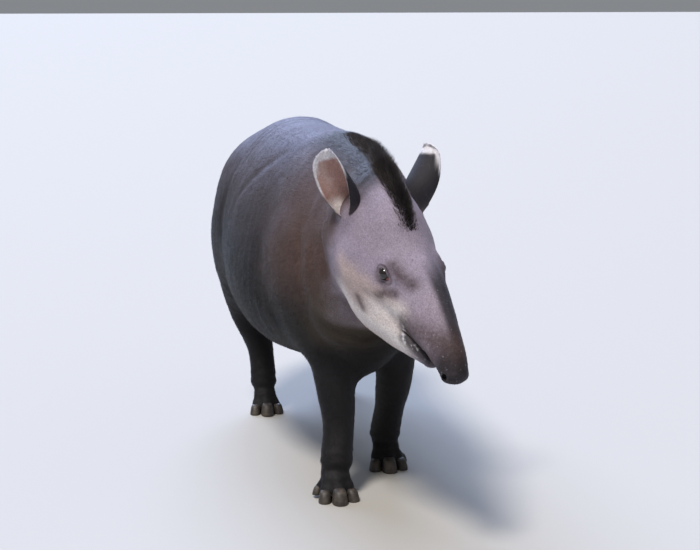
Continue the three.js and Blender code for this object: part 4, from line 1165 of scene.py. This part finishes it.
def hoof(toe):
    ahead = toe["heading"]
    f = frame_at((toe["tip"][0], toe["tip"][1], toe["lift"]), ahead, (-ahead[1], ahead[0], 0))
    points = []
    for i in range(HOOF_STEPS + 1):
        high, long, wide, back = value_along(HOOF_ROWS, i / HOOF_STEPS)
        for k in range(HOOF_SIDES):
            turn = 2 * math.pi * k / HOOF_SIDES
            c, s = math.cos(turn), math.sin(turn)
            round_x = math.copysign(abs(c) ** 0.8, c)
            round_y = math.copysign(abs(s) ** 0.8, s)
            x = round_x * long * toe["length"] / 2 - back * toe["length"]
            y = round_y * wide * toe["width"] / 2 * (1 - 0.12 * (round_x > 0) * abs(round_x))
            points.append(placed(f, (x, y, max(high, 0.0) * toe["height"])))
    faces = tube_faces(HOOF_STEPS, HOOF_SIDES)
    faces.append(tuple(range(HOOF_SIDES))[::-1])
    faces.append(tuple(range(HOOF_STEPS * HOOF_SIDES, (HOOF_STEPS + 1) * HOOF_SIDES)))
    finished(piece("visual_" + toe["node"], points, faces), HORN, "hoof", toe["node"])


# Hair: thin tapered tufts. Each is a triangle at its root, one or more on the way, and a tip
def tufts(name, roots, ways, bends, sides, lengths, widths, uv, colors, steps, coat_material, slot):
    count = len(roots)
    shares = np.linspace(-0.3, 1, steps + 1)
    rings = []
    thick = unit_rows(np.cross(ways, sides))
    for share in shares[:-1]:
        at = roots + ways * (lengths * share)[:, None] + bends * (lengths * share * abs(share))[:, None]
        width = widths * (1 - max(share, 0) ** 1.5) * 0.5
        rings.append(at + sides * width[:, None])
        rings.append(at - sides * width[:, None])
        rings.append(at + thick * (0.45 * width)[:, None])
    rings.append(roots + ways * lengths[:, None] + bends * lengths[:, None])
    per = len(rings)
    points = np.stack(rings, 1).reshape(-1, 3)
    faces = [(2, 1, 0)]
    for i in range(steps - 1):
        a = 3 * i
        for k in range(3):
            b = (k + 1) % 3
            faces += [(a + k, a + b, a + 3 + b), (a + k, a + 3 + b, a + 3 + k)]
    a = 3 * (steps - 1)
    faces += [(a + k, a + (k + 1) % 3, per - 1) for k in range(3)]
    faces = np.array(faces)
    every = (faces[None] + (np.arange(count) * per)[:, None, None]).reshape(-1, 3)
    me = bpy.data.meshes.new(name)
    me.vertices.add(len(points))
    me.vertices.foreach_set("co", points.ravel())
    me.loops.add(every.size)
    me.loops.foreach_set("vertex_index", every.ravel())
    me.polygons.add(len(every))
    me.polygons.foreach_set("loop_start", np.arange(0, every.size, 3))
    me.update(calc_edges=True)
    me.validate()
    spots = uv[:, None] + 0.0015 * np.stack(
        [np.cos(np.arange(per) * 2.1), np.sin(np.arange(per) * 2.1)], 1)[None]
    layer = me.uv_layers.new(name="OFBake")
    layer.uv.foreach_set("vector", spots.reshape(-1, 2)[every.ravel()].ravel().astype(np.float32))
    lighter = np.tile(np.linspace(0.85, 1.15, per), count)[:, None]
    paint(me, np.repeat(colors, per, axis=0) * lighter)
    finished(linked(name, me), coat_material, slot, smooth_faces=False)


# Where hair grows on the skin
def skin_triangles(me):
    me.calc_loop_triangles()
    n = len(me.loop_triangles)
    corners = np.zeros(n * 3, int)
    me.loop_triangles.foreach_get("vertices", corners)
    loops = np.zeros(n * 3, int)
    me.loop_triangles.foreach_get("loops", loops)
    uv = np.zeros(len(me.loops) * 2)
    me.uv_layers["OFBake"].uv.foreach_get("vector", uv)
    return corners.reshape(-1, 3), uv.reshape(-1, 2)[loops.reshape(-1, 3)]


def roots_on(me, weight, count):
    """Random places on a mesh: points, normals and their places on its unwrap."""
    p, n = coordinates(me), normals_of(me)
    corners, uv = skin_triangles(me)
    a, b, c = (p[corners[:, k]] for k in range(3))
    area = norms(np.cross(b - a, c - a)) / 2
    share = area * weight((a + b + c) / 3)
    chosen = rng.choice(len(area), count, p=share / share.sum())
    u, v = rng.random(count), rng.random(count)
    over = u + v > 1
    u[over], v[over] = 1 - u[over], 1 - v[over]
    parts = np.stack([1 - u - v, u, v], 1)[:, :, None]
    return (p[corners[chosen]] * parts).sum(1), unit_rows((n[corners[chosen]] * parts).sum(1)), \
        (uv[chosen] * parts).sum(1)


def lie_at(p):
    """Which way the coat lies."""
    q = in_frame(head, p)
    way = np.tile(vec(-1, 0, -0.4), (len(p), 1))
    down = smooth(p[:, 2], 420, 300)[:, None]
    way = way * (1 - down) + vec(-0.3, 0, -1) * down
    on_head_now = smooth(q[:, 0], -60, 40)[:, None] * (p[:, 2] > 380)[:, None]
    on_face_way = -head["axes"][0] - 0.3 * head["axes"][2]
    return way * (1 - on_head_now) + on_face_way * on_head_now


def coat(name, count, weight, length, width, lift, slot):
    p, n, uv = roots_on(skin_mesh, weight, count)
    way = lie_at(p) + 0.22 * rng.normal(size=(count, 3))
    way = unit_rows(way - n * (way * n).sum(1)[:, None])
    rise = lift * (0.6 + 0.8 * rng.random(count))[:, None]
    up = unit_rows(way + n * rise)
    side = unit_rows(np.cross(n, way))
    lengths = length * (0.7 + 0.6 * rng.random(count))
    widths = width * (0.7 + 0.6 * rng.random(count))
    colors = tone_at(p, n) * (0.75 + 0.5 * rng.random(count))[:, None]
    tufts(name, p, up, way * 0.15, side, lengths, widths, uv, colors, 1, SHORT_HAIR, slot)


def off_the_eyes(p):
    shares = [np.where(in_frame(EYES[k], p)[:, 0] > 0, opening_share(in_frame(EYES[k], p), s), 9)
              for k, s in SIDES]
    open_nose = [nostril_share(f, p) for f in NOSTRILS]
    return (np.min(shares, axis=0) > 1.35) & (np.min(open_nose, axis=0) > 1.3)


def mane():
    count = 10500
    along = rng.beta(1.25, 1.15, count) * (len(CREST) - 1.001)
    i = along.astype(int)
    t = (along - i)[:, None]
    at = CREST[i] + (CREST[i + 1] - CREST[i]) * t
    back = unit_rows(CREST[i + 1] - CREST[i])
    off = rng.normal(size=count).clip(-2.4, 2.4)
    lateral = unit_rows(np.cross(back, vec(0, 0, 1)))
    start = at + lateral * (off * MANE_HALF_WIDTH)[:, None]
    corners, uv = skin_triangles(skin_mesh)
    tree = BVHTree.FromPolygons(coordinates(skin_mesh).tolist(), corners.tolist())
    p, n, spots = np.empty((count, 3)), np.empty((count, 3)), np.empty((count, 2))
    for k in range(count):
        place, normal, face, _ = tree.find_nearest(start[k])
        p[k], n[k], spots[k] = place, normal, uv[face].mean(0)
    share = along / (len(CREST) - 1)
    ends = np.minimum(smooth(share, -0.1, 0.3), smooth(1 - share, -0.1, 0.5))
    far = np.abs(off) / 2.4
    lengths = MANE_LENGTH * (0.7 + 0.45 * rng.random(count)) * ends * (1 - 0.4 * far)
    clump = np.column_stack([noise(start, 26, 11), noise(start, 26, 12), noise(start, 26, 13)])
    stand = 1 - 0.62 * far ** 1.4
    way = n * stand[:, None] + back * (0.3 + 0.75 * far)[:, None] + lateral * (0.2 * off)[:, None]
    way = unit_rows(way + 0.3 * clump + 0.13 * rng.normal(size=(count, 3)))
    side = unit_rows(np.cross(way, lateral) + 0.4 * rng.normal(size=(count, 3)))
    side = unit_rows(side - way * (side * way).sum(1)[:, None])
    bend = back * (0.2 + 0.25 * rng.random(count))[:, None]
    brown = rng.random(count) * (0.25 + 0.75 * far)
    colors = laid_over(np.tile(linear(20, 19, 21), (count, 1)), (84, 74, 71), brown)
    colors = colors * (0.6 + 0.8 * rng.random(count))[:, None]
    tufts("mane", p, way, bend, side, lengths, 1.25 + 0 * off, spots, colors, 3, BRISTLE, "coat")


paint(skin_mesh, tone_at(coordinates(skin_mesh), normals_of(skin_mesh)))


def behind_head(p, low, high):
    return (~on_face(p) & (p[:, 2] > 330) & (p[:, 0] > low) & (p[:, 0] <= high)).astype(float)


coat("coat_rear", 45000, lambda p: behind_head(p, -999, -80), 11, 1.0, 0.16, "coat")
coat("coat_front", 45000, lambda p: behind_head(p, -80, 999), 12, 1.0, 0.2, "coat")
coat("coat_legs", 36000, lambda p: ((p[:, 2] > 34) & (p[:, 2] <= 330)).astype(float), 8, 0.85, 0.2, "leg")
coat("coat_face", 46000, lambda p: (on_face(p) & off_the_eyes(p)).astype(float), 4.4, 0.5, 0.2, "face")
mane()

flesh_nodes = ["torso_chest", "torso_belly", "torso_rump", "tail", "neck", "head", "snout", "lower_jaw"]
for place in LEGS:
    flesh_nodes += [place.replace("_", "leg_") + "_" + part for part in ("upper", "lower", "foot")]
finished(skin, SKIN, "coat", *flesh_nodes)
for name, s in SIDES:
    eyeball(name, s)
    ear(name)
for toe in toes:
    hoof(toe)

# Studio: a pale floor, soft light from above, and the photo's camera
FLOOR = 90
floor_mesh = bpy.data.meshes.new("floor")
corners = [(x * FLOOR, y * FLOOR, 0) for x, y in ((-1, -1), (1, -1), (1, 1), (-1, 1))]
floor_mesh.from_pydata(corners, [], [(0, 1, 2, 3)])
linked("floor", floor_mesh)
floor_material, _, shader = material("floor")
set_inputs(shader, {"Base Color": (0.41, 0.39, 0.36, 1), "Roughness": 0.9})
floor_mesh.materials.append(floor_material)

world = bpy.data.worlds.new("studio")
world.use_nodes = True
set_inputs(world.node_tree.nodes["Background"], {"Color": (0.9, 0.94, 1.0, 1), "Strength": 0.26})
bpy.context.scene.world = world


def soft_sun(name, towards, strength, spread, color):
    light = bpy.data.lights.new(name, "SUN")
    light.angle = math.radians(spread)
    light.energy = strength
    light.color = color
    linked(name, light).rotation_euler = Vector(towards).to_track_quat("Z", "Y").to_euler()


soft_sun("key", (0.62, -0.6, 1.6), 3.3, 14, (1.0, 0.96, 0.92))
soft_sun("sky", (-1.0, -0.1, 0.9), 5.2, 46, (0.56, 0.69, 1.0))

CAMERA_AT = vec(3903.9, -712.6, 1240.0)
CAMERA_AIM = vec(1013.4, -135.8, 681.2)
FOCAL_PIXELS = 1488
PICTURE_WIDTH = 700
camera_data = bpy.data.cameras.new("camera")
camera_data.sensor_width = 36
camera_data.lens = FOCAL_PIXELS / PICTURE_WIDTH * camera_data.sensor_width
camera_data.clip_end = 300
camera = linked("camera", camera_data)
camera.location = row_frame(CAMERA_AT)
camera.rotation_euler = Vector(CAMERA_AIM - CAMERA_AT).to_track_quat("-Z", "Y").to_euler()
bpy.context.scene.camera = camera
bpy.context.scene.view_settings.view_transform = "Standard"
